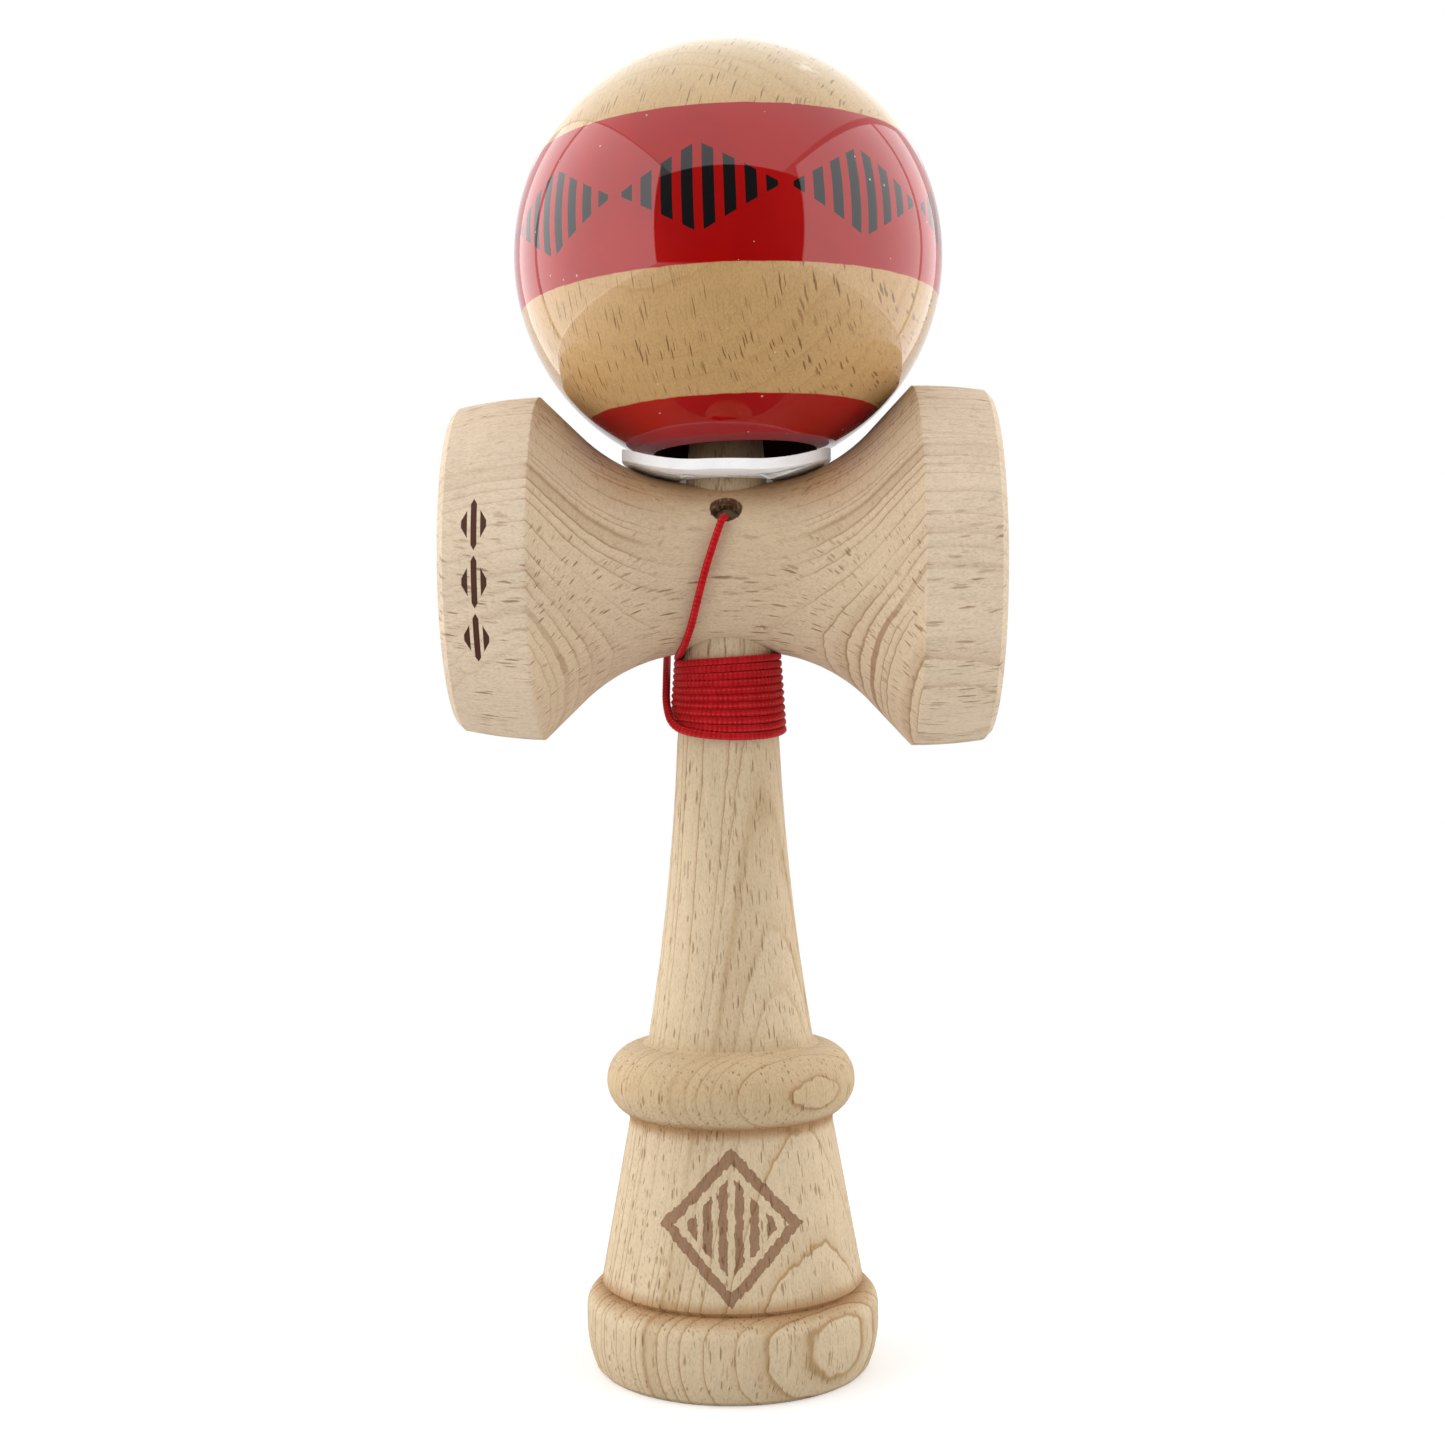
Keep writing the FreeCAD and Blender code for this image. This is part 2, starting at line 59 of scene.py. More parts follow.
def add_node(tree, kind, inputs=(), **settings):
    """Adds a node, with its settings, and its inputs by name or number as values or sockets."""
    node = tree.nodes.new(kind)
    for name, value in settings.items():
        setattr(node, name, value)
    for key, value in dict(inputs).items():
        if isinstance(value, bpy.types.NodeSocket):
            tree.links.new(value, node.inputs[key])
        else:
            node.inputs[key].default_value = value
    return node


def calc(tree, operation, *values, clamp=False):
    """One step of arithmetic on numbers."""
    node = add_node(tree, "ShaderNodeMath", enumerate(values), operation=operation, use_clamp=clamp)
    return node.outputs[0]


def ramp(tree, value, start, end, low=0.0, high=1.0):
    """A smooth step from low to high as the value goes from start to end."""
    inputs = {"Value": value, "From Min": start, "From Max": end, "To Min": low, "To Max": high}
    return add_node(tree, "ShaderNodeMapRange", inputs, interpolation_type="SMOOTHSTEP").outputs[0]


def stretched(tree, vector, scale):
    """The place in the block, with each direction scaled."""
    inputs = {0: vector, 1: scale}
    return add_node(tree, "ShaderNodeVectorMath", inputs, operation="MULTIPLY").outputs[0]


def noise(tree, vector, scale, detail=2.0, output="Fac"):
    """Soft noise, about 0.5, on a stretched place."""
    inputs = {"Vector": stretched(tree, vector, scale), "Scale": 1.0, "Detail": detail}
    return add_node(tree, "ShaderNodeTexNoise", inputs).outputs[output]


def length_of(tree, first, second):
    """The length of a line that goes this far in two square directions."""
    return calc(tree, "SQRT", calc(tree, "ADD", calc(tree, "MULTIPLY", first, first),
                                   calc(tree, "MULTIPLY", second, second)))


def swayed(tree, vector, place, scale, reach):
    """A vector pushed about by soft noise, by as much as the reach in each direction."""
    push = add_node(tree, "ShaderNodeVectorMath",
                    {0: noise(tree, place, scale, 2.0, "Color"), 1: (0.5, 0.5, 0.5)},
                    operation="SUBTRACT").outputs[0]
    return add_node(tree, "ShaderNodeVectorMath", {0: push, 1: reach, 2: vector},
                    operation="MULTIPLY_ADD").outputs[0]


def mixed(tree, factor, first, second, blend="MIX"):
    """Two colours mixed by a factor."""
    inputs = {0: factor, 6: first, 7: second}
    node = add_node(tree, "ShaderNodeMix", inputs, data_type="RGBA", blend_type=blend)
    return node.outputs[2]


def new_group(name, inputs, outputs):
    """An empty shader group with named inputs, each with its default, and named outputs."""
    tree = bpy.data.node_groups.new(name, "ShaderNodeTree")
    for label, default in inputs.items():
        kind = "NodeSocketFloat"
        if default is None:
            kind = "NodeSocketVector"
        elif isinstance(default, tuple):
            kind = "NodeSocketColor"
        socket = tree.interface.new_socket(label, in_out="INPUT", socket_type=kind)
        if default is not None:
            socket.default_value = default
    for label, kind in outputs.items():
        tree.interface.new_socket(label, in_out="OUTPUT", socket_type="NodeSocket" + kind)
    return tree, tree.nodes.new("NodeGroupInput").outputs, tree.nodes.new("NodeGroupOutput").inputs


def paint(red, green, blue):
    """A colour as it looks on a screen, 0 to 255, for a shader."""
    return tuple(((part / 255 + 0.055) / 1.055) ** 2.4 if part > 10 else part / 255 / 12.92
                 for part in (red, green, blue)) + (1.0,)


def make_beech_grain():
    """Solid beech, in millimetres: X across the rays, Y towards the bark and Z along the grain."""
    tree, given, give = new_group("beech_grain", {
        "Place": None, "Ring Gap": 2.1, "Pith Distance": 70.0, "Ring Depth": 0.5,
        "Fleck Depth": 0.8, "Fleck Height": 4.0, "Fleck Gap": 0.36, "Fleck Reach": 0.6, "Fuzz": 0.5,
        "Wood": paint(206, 185, 153), "Ring": paint(172, 140, 98), "Fleck": paint(132, 96, 56),
    }, {"Colour": "Color", "Height": "Float"})
    place = stretched(tree, given["Place"], (1000.0, 1000.0, 1000.0))
    # The grain wanders over centimetres, and ripples a little over millimetres.
    bent = swayed(tree, place, place, (0.035, 0.035, 0.012), (3.4, 3.4, 0.0))
    bent = swayed(tree, bent, place, (0.5, 0.5, 0.28), (0.45, 0.45, 0.6))
    # Each year's ring darkens slowly and ends sharply. The years differ, and show in patches.
    axes = add_node(tree, "ShaderNodeSeparateXYZ", {0: bent}).outputs
    radius = length_of(tree, axes["X"], calc(tree, "ADD", axes["Y"], given["Pith Distance"]))
    years = calc(tree, "DIVIDE", radius, given["Ring Gap"])
    uneven = add_node(tree, "ShaderNodeTexNoise", {"W": years, "Scale": 0.8, "Detail": 0.0},
                      noise_dimensions="1D").outputs["Fac"]
    season = calc(tree, "FRACT", calc(tree, "MULTIPLY_ADD", uneven, 1.6, years))
    late = calc(tree, "MULTIPLY", calc(tree, "POWER", ramp(tree, season, 0.3, 0.93), 2.2), 0.4)
    late = calc(tree, "ADD", late, ramp(tree, season, 0.82, 0.93, 0.0, 0.6))
    late = calc(tree, "MULTIPLY", late, ramp(tree, season, 1.0, 0.95))
    patchy = ramp(tree, noise(tree, place, (0.07, 0.07, 0.03)), 0.3, 0.62, 0.25, 1.0)
    rings = calc(tree, "MULTIPLY", calc(tree, "MULTIPLY", late, patchy), given["Ring Depth"])

    def flecks(gap, height, thinnest, thickest, rarity):
        """Short dark rays, in cells: thin across, long up the grain and deep towards the pith."""
        scale = add_node(tree, "ShaderNodeCombineXYZ", {
            0: calc(tree, "DIVIDE", 1.0, gap), 1: calc(tree, "DIVIDE", 1.0, given["Fleck Reach"]),
            2: calc(tree, "DIVIDE", 1.0, height)}).outputs[0]
        cells = add_node(tree, "ShaderNodeTexVoronoi",
                         {"Vector": stretched(tree, bent, scale), "Scale": 1.0}).outputs
        chance = add_node(tree, "ShaderNodeSeparateColor", {0: cells["Color"]}).outputs
        size = ramp(tree, chance[0], 0.0, 1.0, thinnest, thickest)
        core = calc(tree, "MULTIPLY", size, 0.5)
        shape = ramp(tree, cells["Distance"], size, core)
        shown = calc(tree, "GREATER_THAN", chance[1], rarity)
        strength = ramp(tree, chance[2], 0.0, 1.0, 0.4, 1.0)
        return calc(tree, "MULTIPLY", calc(tree, "MULTIPLY", shape, shown), strength)

    rays = flecks(given["Fleck Gap"], given["Fleck Height"], 0.24, 0.46, 0.45)
    small_gap = calc(tree, "MULTIPLY", given["Fleck Gap"], 0.55)
    small_height = calc(tree, "MULTIPLY", given["Fleck Height"], 0.4)
    small_rays = flecks(small_gap, small_height, 0.2, 0.42, 0.4)
    dark = calc(tree, "MULTIPLY_ADD", small_rays, 0.45, rays, clamp=True)
    dark = calc(tree, "MULTIPLY", dark, given["Fleck Depth"])
    colour = mixed(tree, rings, given["Wood"], given["Ring"])
    colour = mixed(tree, dark, colour, given["Fleck"])
    # Pores, fibres and broad clouds shift the tone.
    pores = ramp(tree, noise(tree, bent, (4.6, 4.6, 2.0), 2.0), 0.42, 0.7)
    fibre = noise(tree, bent, (3.2, 1.2, 0.16), 3.0)
    cloud = noise(tree, place, (0.11, 0.11, 0.04), 2.0)
    tone = calc(tree, "MULTIPLY_ADD", pores, -0.15, 1.05)
    tone = calc(tree, "MULTIPLY_ADD", calc(tree, "SUBTRACT", fibre, 0.5), 0.26, tone)
    tone = calc(tree, "MULTIPLY_ADD", calc(tree, "SUBTRACT", cloud, 0.5), 0.16, tone)
    grey = add_node(tree, "ShaderNodeCombineColor", {0: tone, 1: tone, 2: tone}).outputs[0]
    colour = mixed(tree, 1.0, colour, grey, "MULTIPLY")
    tree.links.new(colour, give["Colour"])
    fuzz = noise(tree, bent, (6.0, 6.0, 0.9), 3.0)
    height = calc(tree, "MULTIPLY", calc(tree, "MULTIPLY_ADD", fibre, 0.8, fuzz), given["Fuzz"])
    height = calc(tree, "MULTIPLY_ADD", dark, -0.8, height)
    height = calc(tree, "MULTIPLY_ADD", rings, -0.25, height)
    tree.links.new(height, give["Height"])
    return tree


def make_bar_lozenge():
    """A lozenge of upright bars, in millimetres from its middle."""
    tree, given, give = new_group("bar_lozenge", {
        "Across": 0.0, "Up": 0.0, "Half Width": 10.0, "Half Height": 5.0, "Bars": 8.0,
        "Bar Share": 0.5,
    }, {"Mask": "Float"})
    across = calc(tree, "DIVIDE", given["Across"], given["Half Width"])
    up = calc(tree, "DIVIDE", given["Up"], given["Half Height"])
    reach = calc(tree, "ADD", calc(tree, "ABSOLUTE", across), calc(tree, "ABSOLUTE", up))
    inside = calc(tree, "LESS_THAN", reach, 1.0)
    count = calc(tree, "MULTIPLY", calc(tree, "MULTIPLY_ADD", across, 0.5, 0.5), given["Bars"])
    from_bar = calc(tree, "ABSOLUTE", calc(tree, "SUBTRACT", calc(tree, "FRACT", count), 0.5))
    bar = calc(tree, "LESS_THAN", from_bar, calc(tree, "MULTIPLY", given["Bar Share"], 0.5))
    tree.links.new(calc(tree, "MULTIPLY", inside, bar), give["Mask"])
    return tree


def make_lathe_lines():
    """The fine rings that a turning tool leaves, from the distance along the work."""
    tree, given, give = new_group(
        "lathe_lines", {"Along": 0.0, "Strength": 1.0}, {"Height": "Float"})
    inputs = {"W": given["Along"], "Scale": 2600.0, "Detail": 2.0}
    lines = add_node(tree, "ShaderNodeTexNoise", inputs, noise_dimensions="1D").outputs["Fac"]
    tree.links.new(calc(tree, "MULTIPLY", lines, given["Strength"]), give["Height"])
    return tree


beech_grain = make_beech_grain()
bar_lozenge = make_bar_lozenge()
lathe_lines = make_lathe_lines()


def block_turn(grain, bark):
    """The turn that brings the grain onto Z and the way to the bark onto Y."""
    grain = Vector(grain).normalized()
    bark = Vector(bark)
    bark = (bark - grain * bark.dot(grain)).normalized()
    return Matrix((bark.cross(grain), bark, grain)).to_euler()


def new_finish(name):
    """A material and its tree, its shader, and the place on the piece, whole and as X, Y and Z."""
    finish = bpy.data.materials.new(name)
    finish.use_nodes = True
    tree = finish.node_tree
    shader = tree.nodes["Principled BSDF"]
    place = add_node(tree, "ShaderNodeTexCoord").outputs["Object"]
    axes = add_node(tree, "ShaderNodeSeparateXYZ", {0: place}).outputs
    return finish, tree, shader, place, axes


def use_group(tree, group, **inputs):
    """A shader group, placed with its own values or sockets."""
    inputs = {name.replace("_", " "): value for name, value in inputs.items()}
    return add_node(tree, "ShaderNodeGroup", inputs, node_tree=group).outputs


def cut_from(tree, place, grain, bark, shift=(0.0, 0.0, 0.0), **inputs):
    """Beech from a block turned so that its grain and bark lie the given ways."""
    turned = add_node(tree, "ShaderNodeMapping",
                      {"Vector": place, "Rotation": block_turn(grain, bark), "Location": shift})
    wood = use_group(tree, beech_grain, Place=turned.outputs[0], **inputs)
    return wood["Colour"], wood["Height"]


def bump(tree, height, distance, strength=1.0):
    """A normal from a height that goes from 0 to 1 over the distance, in metres."""
    inputs = {"Height": height, "Distance": distance, "Strength": strength}
    return add_node(tree, "ShaderNodeBump", inputs).outputs[0]


def near(tree, value, middle, reach):
    """1 at the middle, falling smoothly to 0 at the reach on both sides."""
    return ramp(tree, calc(tree, "ABSOLUTE", calc(tree, "SUBTRACT", value, middle)), reach, 0.0)


def lozenge(tree, across, up, half_width, half_height, bars=1.0, bar_share=1.0):
    """A lozenge of upright bars, or with no bars given a whole one."""
    return use_group(tree, bar_lozenge, Across=across, Up=up, Half_Width=half_width,
                     Half_Height=half_height, Bars=bars, Bar_Share=bar_share)["Mask"]


def tinted(tree, factor, colour, tint):
    """A colour times a tint, by a factor."""
    return mixed(tree, factor, colour, (*tint[:3], 1.0), "MULTIPLY")


def all_of(tree, *masks):
    """Masks times each other."""
    result = masks[0]
    for mask in masks[1:]:
        result = calc(tree, "MULTIPLY", result, mask)
    return result


def make_stick_finish():
    finish, tree, shader, place, axes = new_finish("stick_beech")
    colour, height = cut_from(tree, place, (0.02, 0, 1), (0.68, -0.73, 0), Ring_Gap=2.0,
                              Pith_Distance=62.0, Ring_Depth=1.0, Fleck_Depth=0.75, Fuzz=0.55)
    # The grooves over the base ring and under the collar are painted a darker tan: painted shade in
    # the grooves.
    for groove_height, reach in ((0.0117, 0.0022), (0.035, 0.0017)):
        groove_shade = calc(tree, "MULTIPLY", near(tree, axes["Z"], groove_height, reach), 0.85)
        colour = tinted(tree, groove_shade, colour, paint(205, 170, 128))
    # The collar's round is cut across the grain, so it looks a little darker.
    collar_height = 0.0412
    colour = tinted(tree, near(tree, axes["Z"], collar_height, 0.0085), colour, (0.88, 0.82, 0.72))
    # The burnt mark: a lozenge frame round a smaller lozenge of bars, on the front of the body.
    mark_height = 0.0228
    ragged = noise(tree, place, (1300.0, 1300.0, 700.0), 2.0, "Color")
    ragged = add_node(tree, "ShaderNodeSeparateColor", {0: ragged}).outputs
    across = calc(tree, "MULTIPLY_ADD", axes["X"], 1000.0, calc(tree, "SUBTRACT", ragged[0], 0.5))
    up = calc(tree, "MULTIPLY_ADD", calc(tree, "SUBTRACT", axes["Z"], mark_height), 1000.0,
              calc(tree, "SUBTRACT", ragged[1], 0.5))
    outside = lozenge(tree, across, up, 9.6, 10.2)
    hollow = lozenge(tree, across, up, 7.7, 8.2)
    bars = lozenge(tree, across, up, 6.3, 6.7, bars=6.0, bar_share=0.55)
    mark = calc(tree, "ADD", calc(tree, "SUBTRACT", outside, hollow), bars, clamp=True)
    mark = calc(tree, "MULTIPLY", mark, calc(tree, "LESS_THAN", axes["Y"], 0.0))
    colour = tinted(tree, mark, colour, paint(184, 161, 150))
    # The spike is painted darker inside the ball's bore: painted shade, where little light reaches
    # it.
    bore_shade = ramp(tree, axes["Z"], 0.120, 0.130)
    colour = tinted(tree, bore_shade, colour, paint(156, 130, 112))
    # One dark streak of mineral lies on the right of the shaft.
    streak = all_of(tree, near(tree, axes["Z"], 0.051, 0.0035),
                    near(tree, axes["Y"], -0.0018, 0.0011),
                    calc(tree, "GREATER_THAN", axes["X"], 0.0))
    colour = mixed(tree, calc(tree, "MULTIPLY", streak, 0.7), colour, paint(128, 98, 74))
    # Over the collar the turning tool left fine rings.
    tool = use_group(tree, lathe_lines, Along=axes["Z"],
                     Strength=near(tree, axes["Z"], 0.0452, 0.004))
    height = calc(tree, "ADD", height, tool["Height"])
    height = calc(tree, "MULTIPLY_ADD", mark, -0.5, height)
    tree.links.new(colour, shader.inputs["Base Color"])
    tree.links.new(bump(tree, height, 0.00012, 0.7), shader.inputs["Normal"])
    tree.links.new(ramp(tree, height, 0.0, 1.0, 0.72, 0.58), shader.inputs["Roughness"])
    shader.inputs["Specular IOR Level"].default_value = 0.3
    return finish


nodes["stick"].material_slots[0].material = make_stick_finish()


# ---------------------------------------------------------------------------------------------
# Cross-piece
# One beech turning with its grain from cup to cup, pushed on the stick's taper. The cup walls are
# a little torn, the flares show the rings as a curved hatch, and small marks are burnt at one end.
# ---------------------------------------------------------------------------------------------

def make_cross_finish():
    finish, tree, shader, place, axes = new_finish("cross_piece_beech")
    low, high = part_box("cross_piece")
    middle = (low.z + high.z) / 2
    centred = add_node(tree, "ShaderNodeVectorMath", {0: place, 1: (0.0, 0.0, middle)},
                       operation="SUBTRACT").outputs[0]
    side = calc(tree, "ABSOLUTE", axes["X"])
    rise = calc(tree, "SUBTRACT", axes["Z"], middle)
    from_axis = length_of(tree, rise, axes["Y"])
    in_front = calc(tree, "LESS_THAN", axes["Y"], 0.0)
    bark = (0.0, -0.5, -0.87)
    # The rings show on the flares, and hardly on the waist or on the cup walls.
    ring_depth = calc(tree, "MULTIPLY", ramp(tree, side, 0.008, 0.015, 0.2, 0.95),
                      ramp(tree, side, 0.027, 0.0255, 0.4, 1.0))
    # The rays show as dashes where the bark side faces out, and fade where they lie in the surface.
    facing = calc(tree, "MULTIPLY_ADD", axes["Y"], bark[1], calc(tree, "MULTIPLY", rise, bark[2]))
    facing = calc(tree, "ABSOLUTE", calc(tree, "DIVIDE", facing, from_axis))
    fleck_depth = ramp(tree, facing, 0.15, 0.55, 0.25, 0.8)
    colour, height = cut_from(tree, centred, (1, 0.02, 0.03), bark, (0.004, 0.0, 0.0),
                              Ring_Gap=1.9, Pith_Distance=60.0, Fleck_Reach=1.6, Fuzz=0.5,
                              Ring_Depth=ring_depth, Fleck_Depth=fleck_depth,
                              Wood=paint(206, 183, 153), Ring=paint(164, 132, 99),
                              Fleck=paint(136, 100, 66))
    # The torn cup walls look paler than the turned waist.
    wall = ramp(tree, side, 0.0253, 0.0261)
    colour = tinted(tree, wall, colour, (1.08, 1.12, 1.2))
    # The flares are painted lighter than the waist: painted light, as the waist between them lies
    # in shade under the ball.
    colour = tinted(tree, ramp(tree, side, 0.006, 0.014), colour, (1.05, 1.06, 1.08))
    # Under the ball the wood is painted browner and darker: painted shade, with the warm light the
    # ball throws back.
    under_ball_shade = all_of(tree, ramp(tree, rise, 0.005, 0.012), ramp(tree, side, 0.021, 0.012))
    colour = tinted(tree, under_ball_shade, colour, (0.92, 0.76, 0.6))
    # The string hole is painted dark inside as painted shade, with a frayed edge.
    hole_angle = math.radians(39.0)
    hole_way = (0.0, -math.cos(hole_angle), math.sin(hole_angle))
    hole = add_node(tree, "ShaderNodeMapping",
                    {"Vector": centred, "Rotation": block_turn(hole_way, (1, 0, 0))})
    from_hole = stretched(tree, hole.outputs[0], (1.0, 1.0, 0.0))
    from_hole = add_node(tree, "ShaderNodeVectorMath", {0: from_hole}, operation="LENGTH")
    frayed = noise(tree, place, (2200.0, 2200.0, 900.0), 3.0)
    reach = calc(tree, "MULTIPLY_ADD", calc(tree, "SUBTRACT", frayed, 0.5), -0.0006,
                 from_hole.outputs["Value"])
    hole_shade = all_of(tree, ramp(tree, reach, 0.00235, 0.00215), in_front)
    colour = tinted(tree, calc(tree, "MULTIPLY", hole_shade, 0.85), colour, paint(120, 76, 48))
    # A small crack runs along the grain low on the waist.
    crack_line = calc(tree, "MULTIPLY_ADD", frayed, 0.0012, axes["Z"])
    crack = all_of(tree, near(tree, axes["X"], 0.0047, 0.0016),
                   near(tree, crack_line, 0.1033, 0.0004), in_front)
    colour = mixed(tree, calc(tree, "MULTIPLY", crack, 0.8), colour, paint(120, 78, 46))
    # Three small lozenges are burnt one above the other round the front of the small cup's wall.
    wall_radius, wall_middle, cup_radius = 24.4, -0.0325, 0.0222
    step, lowest = 7.9, -11.4
    front = calc(tree, "MULTIPLY", axes["Y"], -1.0)
    around = calc(tree, "MULTIPLY", calc(tree, "ARCTAN2", rise, front), wall_radius)
    along = calc(tree, "MULTIPLY", calc(tree, "SUBTRACT", axes["X"], wall_middle), 1000.0)
    place_in_step = calc(tree, "WRAP", calc(tree, "SUBTRACT", around, lowest), step / 2, -step / 2)
    marks = all_of(tree, lozenge(tree, along, place_in_step, 1.9, 3.6, bars=3.0, bar_share=0.62),
                   calc(tree, "LESS_THAN", around, lowest + 2.5 * step),
                   calc(tree, "GREATER_THAN", around, lowest - step / 2),
                   calc(tree, "LESS_THAN", axes["X"], 0.0),
                   calc(tree, "GREATER_THAN", from_axis, cup_radius))
    colour = mixed(tree, marks, colour, paint(78, 44, 32))
    tool = use_group(tree, lathe_lines, Along=axes["X"], Strength=near(tree, side, 0.020, 0.006))
    height = calc(tree, "MULTIPLY_ADD", tool["Height"], 0.5, height)
    # The cup walls are torn into fine ridges along the grain.
    torn = noise(tree, place, (260.0, 1900.0, 1900.0), 3.0)
    height = calc(tree, "MULTIPLY_ADD", calc(tree, "MULTIPLY", torn, wall), 1.3, height)
    height = calc(tree, "MULTIPLY_ADD", marks, -2.0, height)
    tree.links.new(colour, shader.inputs["Base Color"])
    tree.links.new(bump(tree, height, 0.00012, 0.7), shader.inputs["Normal"])
    tree.links.new(ramp(tree, height, 0.0, 1.5, 0.72, 0.6), shader.inputs["Roughness"])
    shader.inputs["Specular IOR Level"].default_value = 0.25
    return finish


nodes["cross_piece"].material_slots[0].material = make_cross_finish()


# ---------------------------------------------------------------------------------------------
# Ball
# A bored beech ball that stands on the spike, leaning a little. It has a broad red band with a row
# of plain barred lozenges, a red ring round its mouth, and clear gloss lacquer over its outside.
# ---------------------------------------------------------------------------------------------

BALL_MIDDLE = Vector((0.0005, 0.0, 0.1547))
BALL_LEAN = math.radians(1.7)


def make_ball_finish():
    finish, tree, shader, place, _ = new_finish("ball_lacquer")
    moved = add_node(tree, "ShaderNodeVectorMath", {0: place, 1: BALL_MIDDLE}, operation="SUBTRACT")
    upright = add_node(tree, "ShaderNodeMapping",
                       {"Vector": moved.outputs[0], "Rotation": (0.0, BALL_LEAN, 0.0)}).outputs[0]
    axes = add_node(tree, "ShaderNodeSeparateXYZ", {0: upright}).outputs
    rise = calc(tree, "MULTIPLY", axes["Z"], 1000.0)
    from_axis = length_of(tree, axes["X"], axes["Y"])
    colour, height = cut_from(tree, upright, (0.03, 0.06, 1), (-0.38, -0.92, 0), Ring_Gap=2.9,
                              Pith_Distance=55.0, Ring_Depth=0.35, Fleck_Reach=2.2,
                              Fleck_Height=8.5, Fleck_Gap=0.33,
                              Wood=paint(189, 152, 103), Ring=paint(166, 120, 68),
                              Fleck=paint(104, 68, 30))
    # The wood is paler towards the top, and scuffed in one place.
    colour = tinted(tree, ramp(tree, rise, 8.0, 22.0), colour, (1.13, 1.31, 1.58))
    from_scuff = add_node(tree, "ShaderNodeVectorMath", {0: upright, 1: (0.0113, -0.0187, 0.0205)},
                          operation="DISTANCE").outputs["Value"]
    scuffed = noise(tree, upright, (900.0, 900.0, 900.0), 3.0)
    scuffed = all_of(tree, ramp(tree, scuffed, 0.45, 0.6), ramp(tree, from_scuff, 0.0024, 0.0006))
    colour = mixed(tree, calc(tree, "MULTIPLY", scuffed, 0.5), colour, paint(246, 238, 224))
    # The red band and the ring round the mouth. The brush's edge wavers a little.
    bore_radius = 0.0115
    from_middle = add_node(tree, "ShaderNodeVectorMath", {0: upright}, operation="LENGTH")
    skin = ramp(tree, from_middle.outputs["Value"], 0.0292, 0.0297)
    waver = calc(tree, "SUBTRACT", noise(tree, upright, (400.0, 400.0, 400.0)), 0.5)
    edge = calc(tree, "MULTIPLY_ADD", waver, 0.25, rise)
    band = all_of(tree, ramp(tree, edge, -7.13, -6.97), ramp(tree, edge, 13.83, 13.67), skin)
    mouth = all_of(tree, ramp(tree, edge, -22.02, -22.18),
                   calc(tree, "GREATER_THAN", from_axis, bore_radius - 0.00002))
    red = calc(tree, "MAXIMUM", band, mouth)
    red_tone = ramp(tree, noise(tree, upright, (90.0, 90.0, 90.0), 3.0), 0.3, 0.7)
    colour = mixed(tree, red, colour, mixed(tree, red_tone, paint(154, 3, 3), paint(166, 6, 5)))
    # Eight lozenges run round the band, and leave a short gap where the print ends at the back.
    band_radius, band_middle, lozenges = 29.9, 2.55, 8
    step = math.radians(43.0)
    run_start = -3.5 * step
    turn = calc(tree, "ARCTAN2", axes["X"], calc(tree, "MULTIPLY", axes["Y"], -1.0))
    turn = calc(tree, "ADD", turn, math.radians(6.8))
    turn = calc(tree, "WRAP", turn, run_start + 2 * math.pi, run_start)
    across = calc(tree, "MULTIPLY", calc(tree, "WRAP", turn, step / 2, -step / 2), band_radius)
    up = calc(tree, "SUBTRACT", rise, band_middle)
    bars = all_of(tree, lozenge(tree, across, up, 10.8, 5.9, bars=8.0, bar_share=0.56), skin,
                  calc(tree, "LESS_THAN", turn, run_start + lozenges * step))
    colour = mixed(tree, bars, colour, paint(14, 12, 14))
    # Pale specks of dust are caught in the lacquer.
    dust = add_node(tree, "ShaderNodeTexVoronoi", {"Vector": upright, "Scale": 520.0}).outputs
    chance = add_node(tree, "ShaderNodeSeparateColor", {0: dust["Color"]}).outputs
    speck = calc(tree, "LESS_THAN", dust["Distance"], ramp(tree, chance[1], 0.0, 1.0, 0.03, 0.08))
    speck = calc(tree, "MULTIPLY", speck, calc(tree, "GREATER_THAN", chance[0], 0.6))
    colour = mixed(tree, calc(tree, "MULTIPLY", speck, 0.6), colour, paint(226, 200, 190))
    # The bore is bare wood without lacquer, and its colour is painted very dark there as painted
    # shade.
    bare_shaded_bore = all_of(tree, calc(tree, "LESS_THAN", from_axis, bore_radius),
                   calc(tree, "LESS_THAN", rise, 16.0))
    colour = tinted(tree, bare_shaded_bore, colour, paint(62, 44, 34))
    painted = calc(tree, "MAXIMUM", red, bars)
    height = calc(tree, "MULTIPLY", height, calc(tree, "MULTIPLY_ADD", painted, -0.8, 1.0))
    tree.links.new(colour, shader.inputs["Base Color"])
    tree.links.new(bump(tree, height, 0.00005, 0.35), shader.inputs["Normal"])
    tree.links.new(calc(tree, "SUBTRACT", 1.0, bare_shaded_bore), shader.inputs["Coat Weight"])
    shader.inputs["Coat Roughness"].default_value = 0.035
    shader.inputs["Coat IOR"].default_value = 1.46
    shader.inputs["Roughness"].default_value = 0.6
    shader.inputs["Specular IOR Level"].default_value = 0.02
    return finish


nodes["ball"].material_slots[0].material = make_ball_finish()


# ---------------------------------------------------------------------------------------------
# Foam ring and its paper
# The white packing ring on the spike, cut from sheet foam and bent over the waist, and what is
# left of its release paper: a thin torn sheet under it, with two tongues hanging at the front.
# ---------------------------------------------------------------------------------------------

WAIST_RADIUS = 11.8
WAIST_FLAT = 3.5
WAIST_BEND = 23.3
WAIST_HEIGHT = 111.4
FOAM_GAP = 0.3


